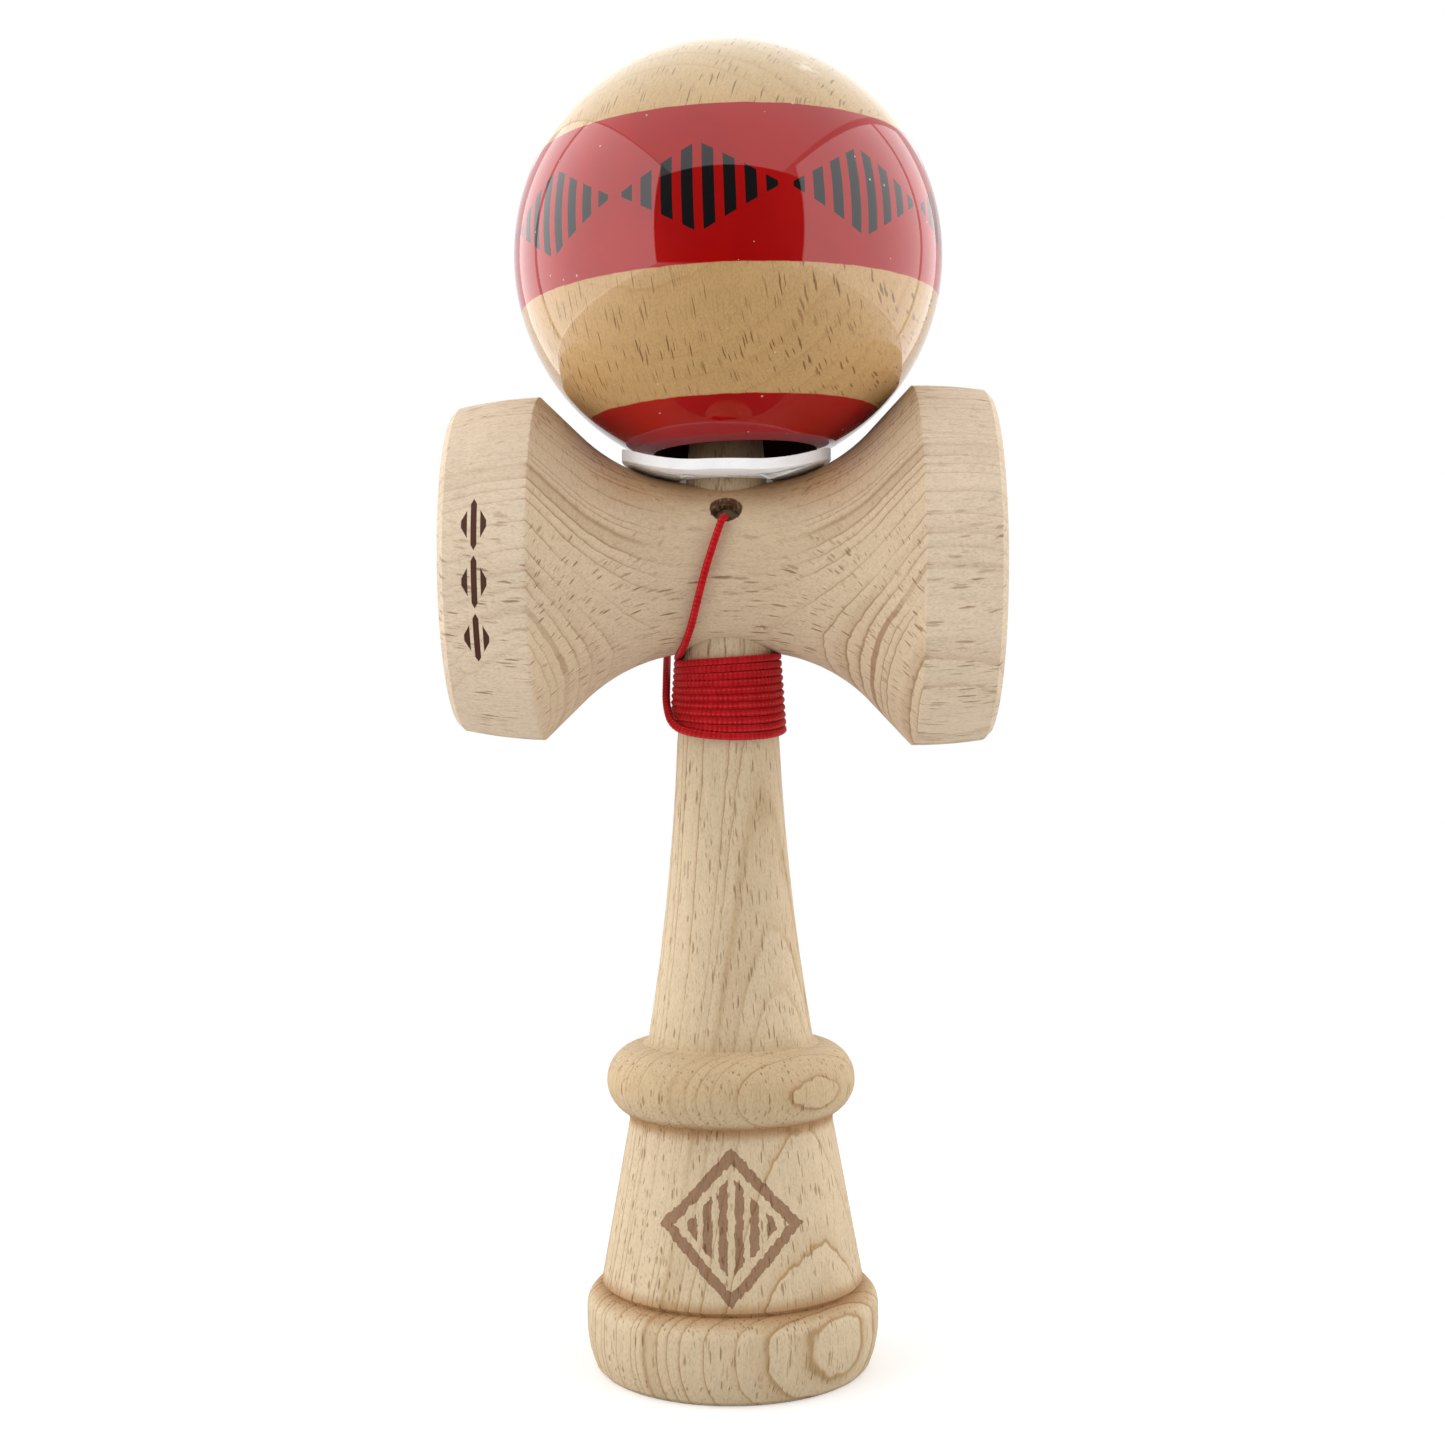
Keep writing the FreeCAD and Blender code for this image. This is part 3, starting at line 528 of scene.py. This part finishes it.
def over_waist(across, back, lift):
    """Bends flat points over the waist. Takes millimetres and gives metres."""
    beside = np.maximum(np.abs(across) - WAIST_FLAT, 0.0)
    rise = WAIST_RADIUS + WAIST_BEND - np.sqrt((WAIST_BEND - lift) ** 2 - beside ** 2)
    return np.stack(np.broadcast_arrays(across, back, rise + WAIST_HEIGHT), axis=-1) / 1000.0


def loop_mesh(name, points, finish):
    """A closed skin from points in a grid: round the piece, and round its section."""
    rounds, section = points.shape[:2]
    faces = []
    for turn in range(rounds):
        after = (turn + 1) % rounds
        for step in range(section):
            ahead = (step + 1) % section
            faces.append((turn * section + step, turn * section + ahead,
                          after * section + ahead, after * section + step))
    mesh = bpy.data.meshes.new(name)
    mesh.from_pydata(points.reshape(-1, 3).tolist(), [], faces)
    for face in mesh.polygons:
        face.use_smooth = True
    mesh.materials.append(finish)
    piece = bpy.data.objects.new(name, mesh)
    bpy.context.scene.collection.objects.link(piece)
    return piece


def make_foam_finish():
    finish, tree, shader, place, _ = new_finish("white_foam")
    cells = add_node(tree, "ShaderNodeTexVoronoi", {"Vector": place, "Scale": 5200.0}).outputs
    cloud = noise(tree, place, (300.0, 300.0, 300.0), 3.0)
    colour = mixed(tree, ramp(tree, cloud, 0.35, 0.65), paint(240, 241, 242), paint(248, 249, 250))
    pit = ramp(tree, cells["Distance"], 0.0, 0.5)
    height = calc(tree, "MULTIPLY_ADD", cloud, 0.6, pit)
    tree.links.new(colour, shader.inputs["Base Color"])
    tree.links.new(bump(tree, height, 0.00006, 0.5), shader.inputs["Normal"])
    tree.links.new(ramp(tree, pit, 0.0, 1.0, 0.85, 0.7), shader.inputs["Roughness"])
    shader.inputs["Specular IOR Level"].default_value = 0.1
    # The foam is given a faint white glow, painted light that keeps its shaded side pale.
    shader.inputs["Emission Color"].default_value = (1.0, 1.0, 1.0, 1.0)
    shader.inputs["Emission Strength"].default_value = 0.1
    return finish


def make_foam_ring():
    """A ring of foam, cut square, with the corners just broken."""
    inner, outer, thickness = 6.4, 14.72, 1.45
    turns = 220
    corner, beside, margin = 0.07, 0.02, 0.4
    slices = np.linspace(inner + margin, outer - margin, 16)
    section = [(inner, thickness - corner), (inner + corner, thickness)]
    section += [(radius, thickness) for radius in slices]
    section += [(outer - corner - beside, thickness), (outer - corner, thickness),
                (outer, thickness - corner), (outer, thickness - corner - beside),
                (outer, corner + beside), (outer, corner), (outer - corner, 0.0),
                (outer - corner - beside, 0.0)]
    section += [(radius, 0.0) for radius in slices[::-1]]
    section += [(inner + corner, 0.0), (inner, corner)]
    radius, lift = np.array(section).T
    angle = np.linspace(0, 2 * math.pi, turns, endpoint=False)[:, None]
    # The cut wanders a little, and the foam swells where nothing presses it.
    wander = 0.03 * np.sin(3 * angle + 0.4) + 0.02 * np.sin(11 * angle + 1.3) - 0.03
    share = (radius - inner) / (outer - inner)
    reach = radius + wander * share
    swell = 0.03 * np.sin(5 * angle + 2.0) * np.sin(math.pi * share) * (lift > thickness / 2)
    points = over_waist(reach * np.cos(angle), reach * np.sin(angle), FOAM_GAP + lift + swell)
    return loop_mesh("packing_ring", points, make_foam_finish())


def make_paper_finish():
    finish, tree, shader, place, _ = new_finish("torn_paper")
    fibres = noise(tree, place, (1500.0, 1500.0, 1500.0), 4.0)
    colour = mixed(tree, ramp(tree, fibres, 0.3, 0.7), paint(222, 220, 216), paint(238, 237, 234))
    tree.links.new(colour, shader.inputs["Base Color"])
    tree.links.new(bump(tree, fibres, 0.00004, 0.6), shader.inputs["Normal"])
    tree.links.new(ramp(tree, fibres, 0.2, 0.8, 0.7, 0.9), shader.inputs["Roughness"])
    shader.inputs["Specular IOR Level"].default_value = 0.2
    return finish


def make_torn_paper():
    """The release paper, torn off in front but for two tongues that hang from the tear."""
    inner, outer, tear, thickness = 6.6, 13.8, 8.3, 0.12
    tongues_at = ((-1.14, -0.6, 2.8, 1.0), (-2.18, -1.98, 1.9, 0.55))
    turns = 720
    chance = np.random.default_rng(7)
    angle = np.linspace(0, 2 * math.pi, turns, endpoint=False)
    ragged = np.convolve(np.tile(chance.normal(0, 0.35, turns), 3), np.ones(9) / 9, "same")
    ragged = ragged[turns:2 * turns]
    to_front = np.maximum(-np.sin(angle), 1e-6)
    torn_reach = np.where(np.sin(angle) < 0, tear / to_front, 99.0) + 2.4 * ragged
    reach = np.maximum(np.minimum(outer + 0.4 * ragged, torn_reach), inner + 0.3)
    tongues, drop = np.zeros(turns), np.zeros(turns)
    for torn_end, thin_end, length, fall in tongues_at:
        along = ((angle - torn_end + math.pi) % (2 * math.pi) - math.pi) / (thin_end - torn_end)
        shape = np.clip(along / 0.08, 0, 1) * np.clip(1 - along, 0, 1)
        tongues += length * np.sqrt(shape) * (1 + ragged)
        drop += fall * shape
    share = np.linspace(0, 1, 14)
    radius = inner + (reach + tongues - inner)[:, None] * share
    past = np.maximum(radius - reach[:, None], 0.0) / np.maximum(tongues, 0.01)[:, None]
    hang = drop[:, None] * past ** 2.5
    lift = FOAM_GAP - 0.02 - hang
    across, back = radius * np.cos(angle)[:, None], radius * np.sin(angle)[:, None]
    upper = over_waist(across, back, lift)
    lower = over_waist(across, back, lift - thickness)
    skin = np.concatenate([upper, lower[:, ::-1]], axis=1)
    return loop_mesh("torn_paper", skin, make_paper_finish())


packing_ring = make_foam_ring()
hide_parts("foam_ring")
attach(packing_ring, "foam")
torn_paper = make_torn_paper()
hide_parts("foam_backing")
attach(torn_paper, "foam")


# ---------------------------------------------------------------------------------------------
# Bead
# A small turned bead inside the ball's bore. It keeps the cord's end in the ball and lets the
# ball turn on the cord.
# ---------------------------------------------------------------------------------------------

def make_bead_finish():
    finish, tree, shader, place, axes = new_finish("bead_varnish")
    colour, height = cut_from(tree, place, (0.1, 0.1, 1), (0.5, -0.8, 0.1), Ring_Gap=1.1,
                              Wood=paint(196, 158, 108), Ring=paint(160, 118, 72))
    height = calc(tree, "ADD", height, use_group(tree, lathe_lines, Along=axes["Z"])["Height"])
    tree.links.new(colour, shader.inputs["Base Color"])
    tree.links.new(bump(tree, height, 0.00005, 0.5), shader.inputs["Normal"])
    tree.links.new(ramp(tree, height, 0.0, 1.5, 0.5, 0.35), shader.inputs["Roughness"])
    return finish


nodes["bead"].material_slots[0].material = make_bead_finish()


# ---------------------------------------------------------------------------------------------
# Cord and its knots
# One length of fine red braid. It is knotted in the back of the stick, comes out of the string
# hole, is wound down the shaft, and climbs behind the ball into the hole in its top, to the bead.
# ---------------------------------------------------------------------------------------------

CORD_DIAMETER = 0.00105
ANCHOR = [(0.0, 3.1, 108.9), (0.0, -5.6, 115.0)]
FRONT_STRAND = [(-0.1, -11.0, 118.4), (-1.5, -12.5, 114.4), (-2.9, -12.75, 110.0),
                (-4.0, -11.6, 105.9), (-4.9, -9.3, 102.6), (-6.0, -6.2, 100.1)]
WINDING_START = (-6.86, -1.5, 99.2)
WINDING_END = (0.4, -7.7, 88.91)
WINDING_TURNS = 10
TOP_SLOPE = (0.045, 0.03)
FOOT_SLOPE = (-0.05, 0.147)
RISER = [(-4.4, -7.7, 88.1), (-7.7, -4.9, 89.1), (-8.7, -1.4, 92.2), (-8.7, 1.9, 95.9),
         (-8.8, 6.3, 98.6), (-8.8, 11.2, 101.8), (-8.6, 14.6, 107.0), (-8.2, 15.9, 113.5),
         (-7.8, 17.4, 120.5)]
OVER_BALL = [(-7.3, 20.6, 128.4), (-6.6, 25.8, 136.0), (-5.8, 30.0, 144.4), (-4.9, 31.2, 153.6),
             (-4.0, 30.0, 162.4), (-3.1, 26.6, 170.6), (-2.2, 21.4, 177.2), (-1.4, 14.7, 182.0),
             (-0.8, 9.0, 184.4), (-0.5, 4.3, 185.4), (-0.43, 0.0, 185.7)]
TOP_HOLE_RISE = 0.026
TAIL_END_RISE = 0.0062


def on_ball_axis(rise):
    """A point on the ball's leaning axis, at a height above its middle."""
    return BALL_MIDDLE + Vector((-math.sin(BALL_LEAN), 0.0, math.cos(BALL_LEAN))) * rise


def winding_points():
    """The close turns, from the top of the winding to its foot, clockwise seen from above."""
    full_turn = 2 * math.pi
    points_per_turn = 16
    start = Vector(WINDING_START)
    end = Vector(WINDING_END)
    first = math.atan2(start.y, start.x)
    last = math.atan2(end.y, end.x)
    sweep = (first - last) % full_turn + WINDING_TURNS * full_turn
    count = round(sweep / full_turn * points_per_turn)
    swell = 1 / math.cos(sweep / count / 2)
    points = []
    for index in range(count + 1):
        share = index / count
        angle = first - sweep * share
        radius = math.hypot(start.x, start.y) * (1 - share) + math.hypot(end.x, end.y) * share
        radius *= swell
        height = start.z * (1 - share) + end.z * share
        across, back = radius * math.cos(angle), radius * math.sin(angle)
        # The turns at the top lie higher at the right, and those at the foot sag in front.
        height += (TOP_SLOPE[0] * across + TOP_SLOPE[1] * back) * (1 - share)
        height += (FOOT_SLOPE[0] * across + FOOT_SLOPE[1] * back) * share
        points.append((across, back, height))
    return points


def make_route():
    """The cord's whole line, as one smooth spline."""
    points = ANCHOR + FRONT_STRAND + winding_points() + RISER + OVER_BALL
    points = [Vector(point) / 1000 for point in points]
    points += [on_ball_axis(TOP_HOLE_RISE), on_ball_axis(TAIL_END_RISE)]
    line = bpy.data.curves.new("cord_route", "CURVE")
    line.dimensions = "3D"
    line.resolution_u = 10
    spline = line.splines.new("NURBS")
    spline.points.add(len(points) - 1)
    for control, point in zip(spline.points, points):
        control.co = (*point, 1.0)
    spline.order_u = 3
    spline.use_endpoint_u = True
    route = bpy.data.objects.new("cord_route", line)
    bpy.context.scene.collection.objects.link(route)
    return route


def geometry_tree(name, inputs):
    """An empty Geometry Nodes tree with named number inputs, after its geometry."""
    tree = bpy.data.node_groups.new(name, "GeometryNodeTree")
    tree.interface.new_socket("Geometry", in_out="INPUT", socket_type="NodeSocketGeometry")
    for label, default in inputs.items():
        socket = tree.interface.new_socket(label, in_out="INPUT", socket_type="NodeSocketFloat")
        socket.default_value = default
    tree.interface.new_socket("Geometry", in_out="OUTPUT", socket_type="NodeSocketGeometry")
    given = tree.nodes.new("NodeGroupInput").outputs
    return tree, given, tree.nodes.new("NodeGroupOutput").inputs[0]


def grown(name, base, tree, finish, **sizes):
    """Runs a tree on an object, gives the result as a plain mesh piece, and removes the base."""
    modifier = base.modifiers.new(name, "NODES")
    modifier.node_group = tree
    for item in tree.interface.items_tree:
        if item.item_type == "SOCKET" and item.in_out == "INPUT":
            value = sizes.get(item.name.replace(" ", "_"))
            if value is not None:
                modifier[item.identifier] = value
    seen = base.evaluated_get(bpy.context.evaluated_depsgraph_get())
    mesh = bpy.data.meshes.new_from_object(seen)
    mesh.name = name
    base.modifiers.remove(modifier)
    bpy.data.objects.remove(base)
    mesh.materials.clear()
    mesh.materials.append(finish)
    piece = bpy.data.objects.new(name, mesh)
    bpy.context.scene.collection.objects.link(piece)
    return piece


def make_cord_finish():
    """Red yarn. The braid's own relief is in the mesh, and its filaments are in the bump."""
    finish, tree, shader, _, _ = new_finish("red_braid")
    along, around, relief = (
        add_node(tree, "ShaderNodeAttribute", attribute_name=name).outputs["Fac"]
        for name in ("along", "around", "relief"))
    twist = calc(tree, "MULTIPLY_ADD", along, 9000.0, calc(tree, "MULTIPLY", around, 60.0))
    filament = calc(tree, "MULTIPLY_ADD", calc(tree, "SINE", twist), 0.5, 0.5)
    patch = add_node(tree, "ShaderNodeTexNoise", {"W": along, "Scale": 500.0, "Detail": 2.0},
                     noise_dimensions="1D").outputs["Fac"]
    # The braid's valleys are painted darker as painted shade, and its crests pink as a painted
    # highlight.
    colour = mixed(tree, ramp(tree, relief, 0.05, 0.55), paint(138, 4, 10), paint(186, 15, 23))
    crest_highlight = calc(tree, "MULTIPLY", ramp(tree, relief, 0.7, 0.98), 0.62)
    colour = mixed(tree, crest_highlight, colour, paint(238, 100, 104))
    colour = mixed(tree, calc(tree, "MULTIPLY", ramp(tree, patch, 0.4, 0.65), 0.25), colour,
                   paint(212, 40, 46))
    height = calc(tree, "MULTIPLY_ADD", relief, 0.8, filament)
    tree.links.new(colour, shader.inputs["Base Color"])
    tree.links.new(bump(tree, height, 0.00004, 0.5), shader.inputs["Normal"])
    tree.links.new(ramp(tree, filament, 0.0, 1.0, 0.62, 0.5), shader.inputs["Roughness"])
    shader.inputs["Specular IOR Level"].default_value = 0.1
    shader.inputs["Sheen Weight"].default_value = 0.04
    return finish


def stored(tree, geometry, name, value):
    """The geometry with a number kept on its points under a name."""
    inputs = {"Geometry": geometry, "Name": name, "Value": value}
    return add_node(tree, "GeometryNodeStoreNamedAttribute", inputs, data_type="FLOAT",
                    domain="POINT").outputs[0]


def kept(tree, name):
    """A number that was kept on the points."""
    return add_node(tree, "GeometryNodeInputNamedAttribute", {"Name": name},
                    data_type="FLOAT").outputs[0]


def make_braid_tree(finish):
    """A tube along a route, with the bumps of a round braid raised on it."""
    sides = 12
    tree, given, result = geometry_tree("round_braid", {
        "Radius": 0.0005, "Step": 0.0002, "Stitch": 0.0013, "Crossings": 2.0, "Relief": 0.00011,
    })
    line = add_node(tree, "GeometryNodeResampleCurve",
                    {"Curve": given["Geometry"], "Length": given["Step"]}, mode="LENGTH").outputs[0]
    run = add_node(tree, "GeometryNodeSplineParameter").outputs["Length"]
    line = stored(tree, line, "along", run)
    section = add_node(tree, "GeometryNodeCurvePrimitiveCircle",
                       {"Resolution": sides, "Radius": given["Radius"]}, mode="RADIUS").outputs[0]
    turn = calc(tree, "DIVIDE", add_node(tree, "GeometryNodeInputIndex").outputs[0], float(sides))
    section = stored(tree, section, "around", turn)
    tube = add_node(tree, "GeometryNodeCurveToMesh",
                    {"Curve": line, "Profile Curve": section, "Fill Caps": True}).outputs[0]
    phase = calc(tree, "DIVIDE", kept(tree, "along"), given["Stitch"])
    phase = calc(tree, "MULTIPLY", phase, 2 * math.pi)
    side = calc(tree, "MULTIPLY", kept(tree, "around"), given["Crossings"])
    side = calc(tree, "MULTIPLY", side, 2 * math.pi)
    right = calc(tree, "COSINE", calc(tree, "ADD", side, phase))
    left = calc(tree, "COSINE", calc(tree, "SUBTRACT", side, phase))
    relief = calc(tree, "MULTIPLY_ADD", calc(tree, "MULTIPLY", right, left), 0.5, 0.5)
    tube = stored(tree, tube, "relief", relief)
    normal = add_node(tree, "GeometryNodeInputNormal").outputs[0]
    out = calc(tree, "MULTIPLY", calc(tree, "SUBTRACT", kept(tree, "relief"), 0.5), given["Relief"])
    out = add_node(tree, "ShaderNodeVectorMath", {0: normal, "Scale": out}, operation="SCALE")
    braid = add_node(tree, "GeometryNodeSetPosition", {"Geometry": tube, "Offset": out.outputs[0]})
    braid = add_node(tree, "GeometryNodeRealizeInstances", {"Geometry": braid.outputs[0]})
    braid = add_node(tree, "GeometryNodeSetMaterial",
                     {"Geometry": braid.outputs[0], "Material": finish})
    tree.links.new(braid.outputs[0], result)
    return tree


def make_knot(name, node, size, finish, braid):
    """An overhand knot pulled tight: a trefoil line with the same braid along it."""
    low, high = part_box(node)
    middle = (low + high) / 2
    line = bpy.data.curves.new(name + "_line", "CURVE")
    line.dimensions = "3D"
    spline = line.splines.new("NURBS")
    count = 36
    spline.points.add(count - 1)
    for index, control in enumerate(spline.points):
        angle = 2 * math.pi * index / count
        point = Vector((math.sin(angle) + 2 * math.sin(2 * angle),
                        math.cos(angle) - 2 * math.cos(2 * angle), -1.6 * math.sin(3 * angle)))
        control.co = (*(middle + point / 3 * size), 1.0)
    spline.order_u = 3
    spline.use_cyclic_u = True
    base = bpy.data.objects.new(name + "_line", line)
    bpy.context.scene.collection.objects.link(base)
    return grown(name, base, braid, finish, Radius=0.00034, Step=0.0002, Relief=0.00005)


red_braid = make_cord_finish()
braid_tree = make_braid_tree(red_braid)
route = make_route()
route_mesh = bpy.data.meshes.new_from_object(
    route.evaluated_get(bpy.context.evaluated_depsgraph_get()))
bpy.data.meshes.remove(route_mesh)
cord = grown("wound_cord", route, braid_tree, red_braid, Radius=CORD_DIAMETER / 2)

anchor_knot = make_knot("anchor_overhand_knot", "anchor_knot", 0.00125, red_braid, braid_tree)
bead_knot = make_knot("bead_overhand_knot", "bead_knot", 0.00095, red_braid, braid_tree)
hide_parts("cord_anchor", "cord_front_strand", "cord_winding", "cord_riser",
            "cord_over_ball", "cord_tail")
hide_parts("anchor_knot")
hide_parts("bead_knot")
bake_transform(cord)
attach(anchor_knot, "handle")
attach(bead_knot, "cord_end")


# ---------------------------------------------------------------------------------------------
# Camera, floor and light
# The camera looks level at the stick from close by. A pale floor, two soft lights at each side and
# one overhead, with a dark screen where the camera stands, as in a small light tent.
# ---------------------------------------------------------------------------------------------

def make_camera():
    lens = bpy.data.cameras.new("camera")
    lens.sensor_width = 36.0
    lens.lens = 48.13
    lens.clip_start = 0.01
    camera = bpy.data.objects.new("camera", lens)
    camera.location = (0.002, -0.272, 0.0897)
    camera.rotation_euler = (math.radians(90.0), math.radians(0.45), math.radians(0.59))
    bpy.context.scene.collection.objects.link(camera)
    bpy.context.scene.camera = camera


def make_panel(name, corners, finish):
    """A flat sheet on the stage."""
    mesh = bpy.data.meshes.new(name)
    mesh.from_pydata(corners, [], [tuple(range(len(corners)))])
    mesh.materials.append(finish)
    panel = bpy.data.objects.new(name, mesh)
    bpy.context.scene.collection.objects.link(panel)
    return panel


def seen_directly(tree):
    """1 for the rays that look at the background: from the camera, in gloss and through glass."""
    path = add_node(tree, "ShaderNodeLightPath").outputs
    seen = calc(tree, "MAXIMUM", path["Is Camera Ray"], path["Is Glossy Ray"])
    return calc(tree, "MAXIMUM", seen, path["Is Transmission Ray"])


def make_floor():
    """A pale floor that keeps the shadow near the object and runs out to white."""
    half_width, wall = 4.0, 0.475
    finish = bpy.data.materials.new("pale_floor")
    finish.use_nodes = True
    tree = finish.node_tree
    tree.nodes.clear()
    place = add_node(tree, "ShaderNodeTexCoord").outputs["Object"]
    away = add_node(tree, "ShaderNodeVectorMath", {0: place}, operation="LENGTH").outputs["Value"]
    matt = add_node(tree, "ShaderNodeBsdfDiffuse", {"Color": (0.8, 0.8, 0.8, 1.0)}).outputs[0]
    lift = add_node(tree, "ShaderNodeEmission", {"Strength": 0.3}).outputs[0]
    white = add_node(tree, "ShaderNodeEmission", {"Strength": 1.0}).outputs[0]
    lifted = add_node(tree, "ShaderNodeAddShader", {0: matt, 1: lift}).outputs[0]
    far = ramp(tree, away, 0.06, 0.3)
    seen = add_node(tree, "ShaderNodeMixShader", {0: far, 1: lifted, 2: white}).outputs[0]
    # In gloss the floor is dim in the middle and in front, and runs up to the walls' own light.
    axes = add_node(tree, "ShaderNodeSeparateXYZ", {0: place}).outputs
    side = calc(tree, "ABSOLUTE", axes["X"])
    dim = ramp(tree, axes["Y"], -0.45, -0.1, 0.05, 0.12)
    glow = calc(tree, "POWER", calc(tree, "DIVIDE", side, wall), 1.7)
    glow = calc(tree, "MULTIPLY_ADD", glow, 1.9, dim)
    beyond = calc(tree, "MAXIMUM", calc(tree, "GREATER_THAN", side, wall),
                  ramp(tree, axes["Y"], 0.3, 0.9))
    glow = calc(tree, "MULTIPLY_ADD", calc(tree, "SUBTRACT", 1.0, glow), beyond, glow)
    glossy = add_node(tree, "ShaderNodeEmission", {"Strength": glow}).outputs[0]
    is_glossy = add_node(tree, "ShaderNodeLightPath").outputs["Is Glossy Ray"]
    seen = add_node(tree, "ShaderNodeMixShader", {0: is_glossy, 1: seen, 2: glossy}).outputs[0]
    final = add_node(tree, "ShaderNodeMixShader", {0: seen_directly(tree), 1: matt, 2: seen})
    output = add_node(tree, "ShaderNodeOutputMaterial")
    tree.links.new(final.outputs[0], output.inputs["Surface"])
    corners = [(x * half_width, y * half_width, 0) for x, y in ((-1, -1), (1, -1), (1, 1), (-1, 1))]
    make_panel("floor", corners, finish)


def make_dark_screen():
    """The dark opening in front of the tent. Only gloss shows it."""
    finish = bpy.data.materials.new("dark_screen")
    finish.use_nodes = True
    shader = finish.node_tree.nodes["Principled BSDF"]
    shader.inputs["Base Color"].default_value = (0.01, 0.01, 0.01, 1.0)
    left, right, low, high, away = -0.462, 0.511, -0.1, 0.58, -0.62
    screen = make_panel("dark_screen", [(left, away, low), (right, away, low), (right, away, high),
                                        (left, away, high)], finish)
    screen.visible_camera = False
    screen.visible_diffuse = False
    screen.visible_transmission = False
    screen.visible_shadow = False


def make_soft_light(name, middle, towards, width, height, power):
    """A large flat lamp that faces a point."""
    lamp = bpy.data.lights.new(name, "AREA")
    lamp.shape = "RECTANGLE"
    lamp.size = width
    lamp.size_y = height
    lamp.energy = power
    light = bpy.data.objects.new(name, lamp)
    light.location = middle
    aim = Vector(towards) - Vector(middle)
    light.rotation_euler = aim.to_track_quat("-Z", "Y").to_euler()
    light.visible_camera = False
    bpy.context.scene.collection.objects.link(light)


def make_world():
    world = bpy.data.worlds.new("studio")
    world.use_nodes = True
    bpy.context.scene.world = world
    tree = world.node_tree
    background = tree.nodes["Background"]
    background.inputs["Color"].default_value = (1.0, 1.0, 1.0, 1.0)
    room_light = 0.13
    tree.links.new(ramp(tree, seen_directly(tree), 0.0, 1.0, room_light, 1.0),
                   background.inputs["Strength"])


make_camera()
make_floor()
make_dark_screen()
make_world()
for light_name, across, back, width, power in (
        ("left_light", -0.46, -0.19, 0.84, 3.85), ("right_light", 0.49, -0.17, 0.88, 3.35),
        ("left_back_light", -0.46, 0.45, 0.38, 1.2), ("right_back_light", 0.49, 0.48, 0.36, 1.1)):
    make_soft_light(light_name, (across, back, 0.34), (0.0, back, 0.34), width, 0.68, power)
make_soft_light("top_light", (0.0, 0.2, 0.69), (0.0, 0.2, 0.0), 0.92, 2.3, 5.4)
bpy.context.scene.view_settings.view_transform = "Standard"
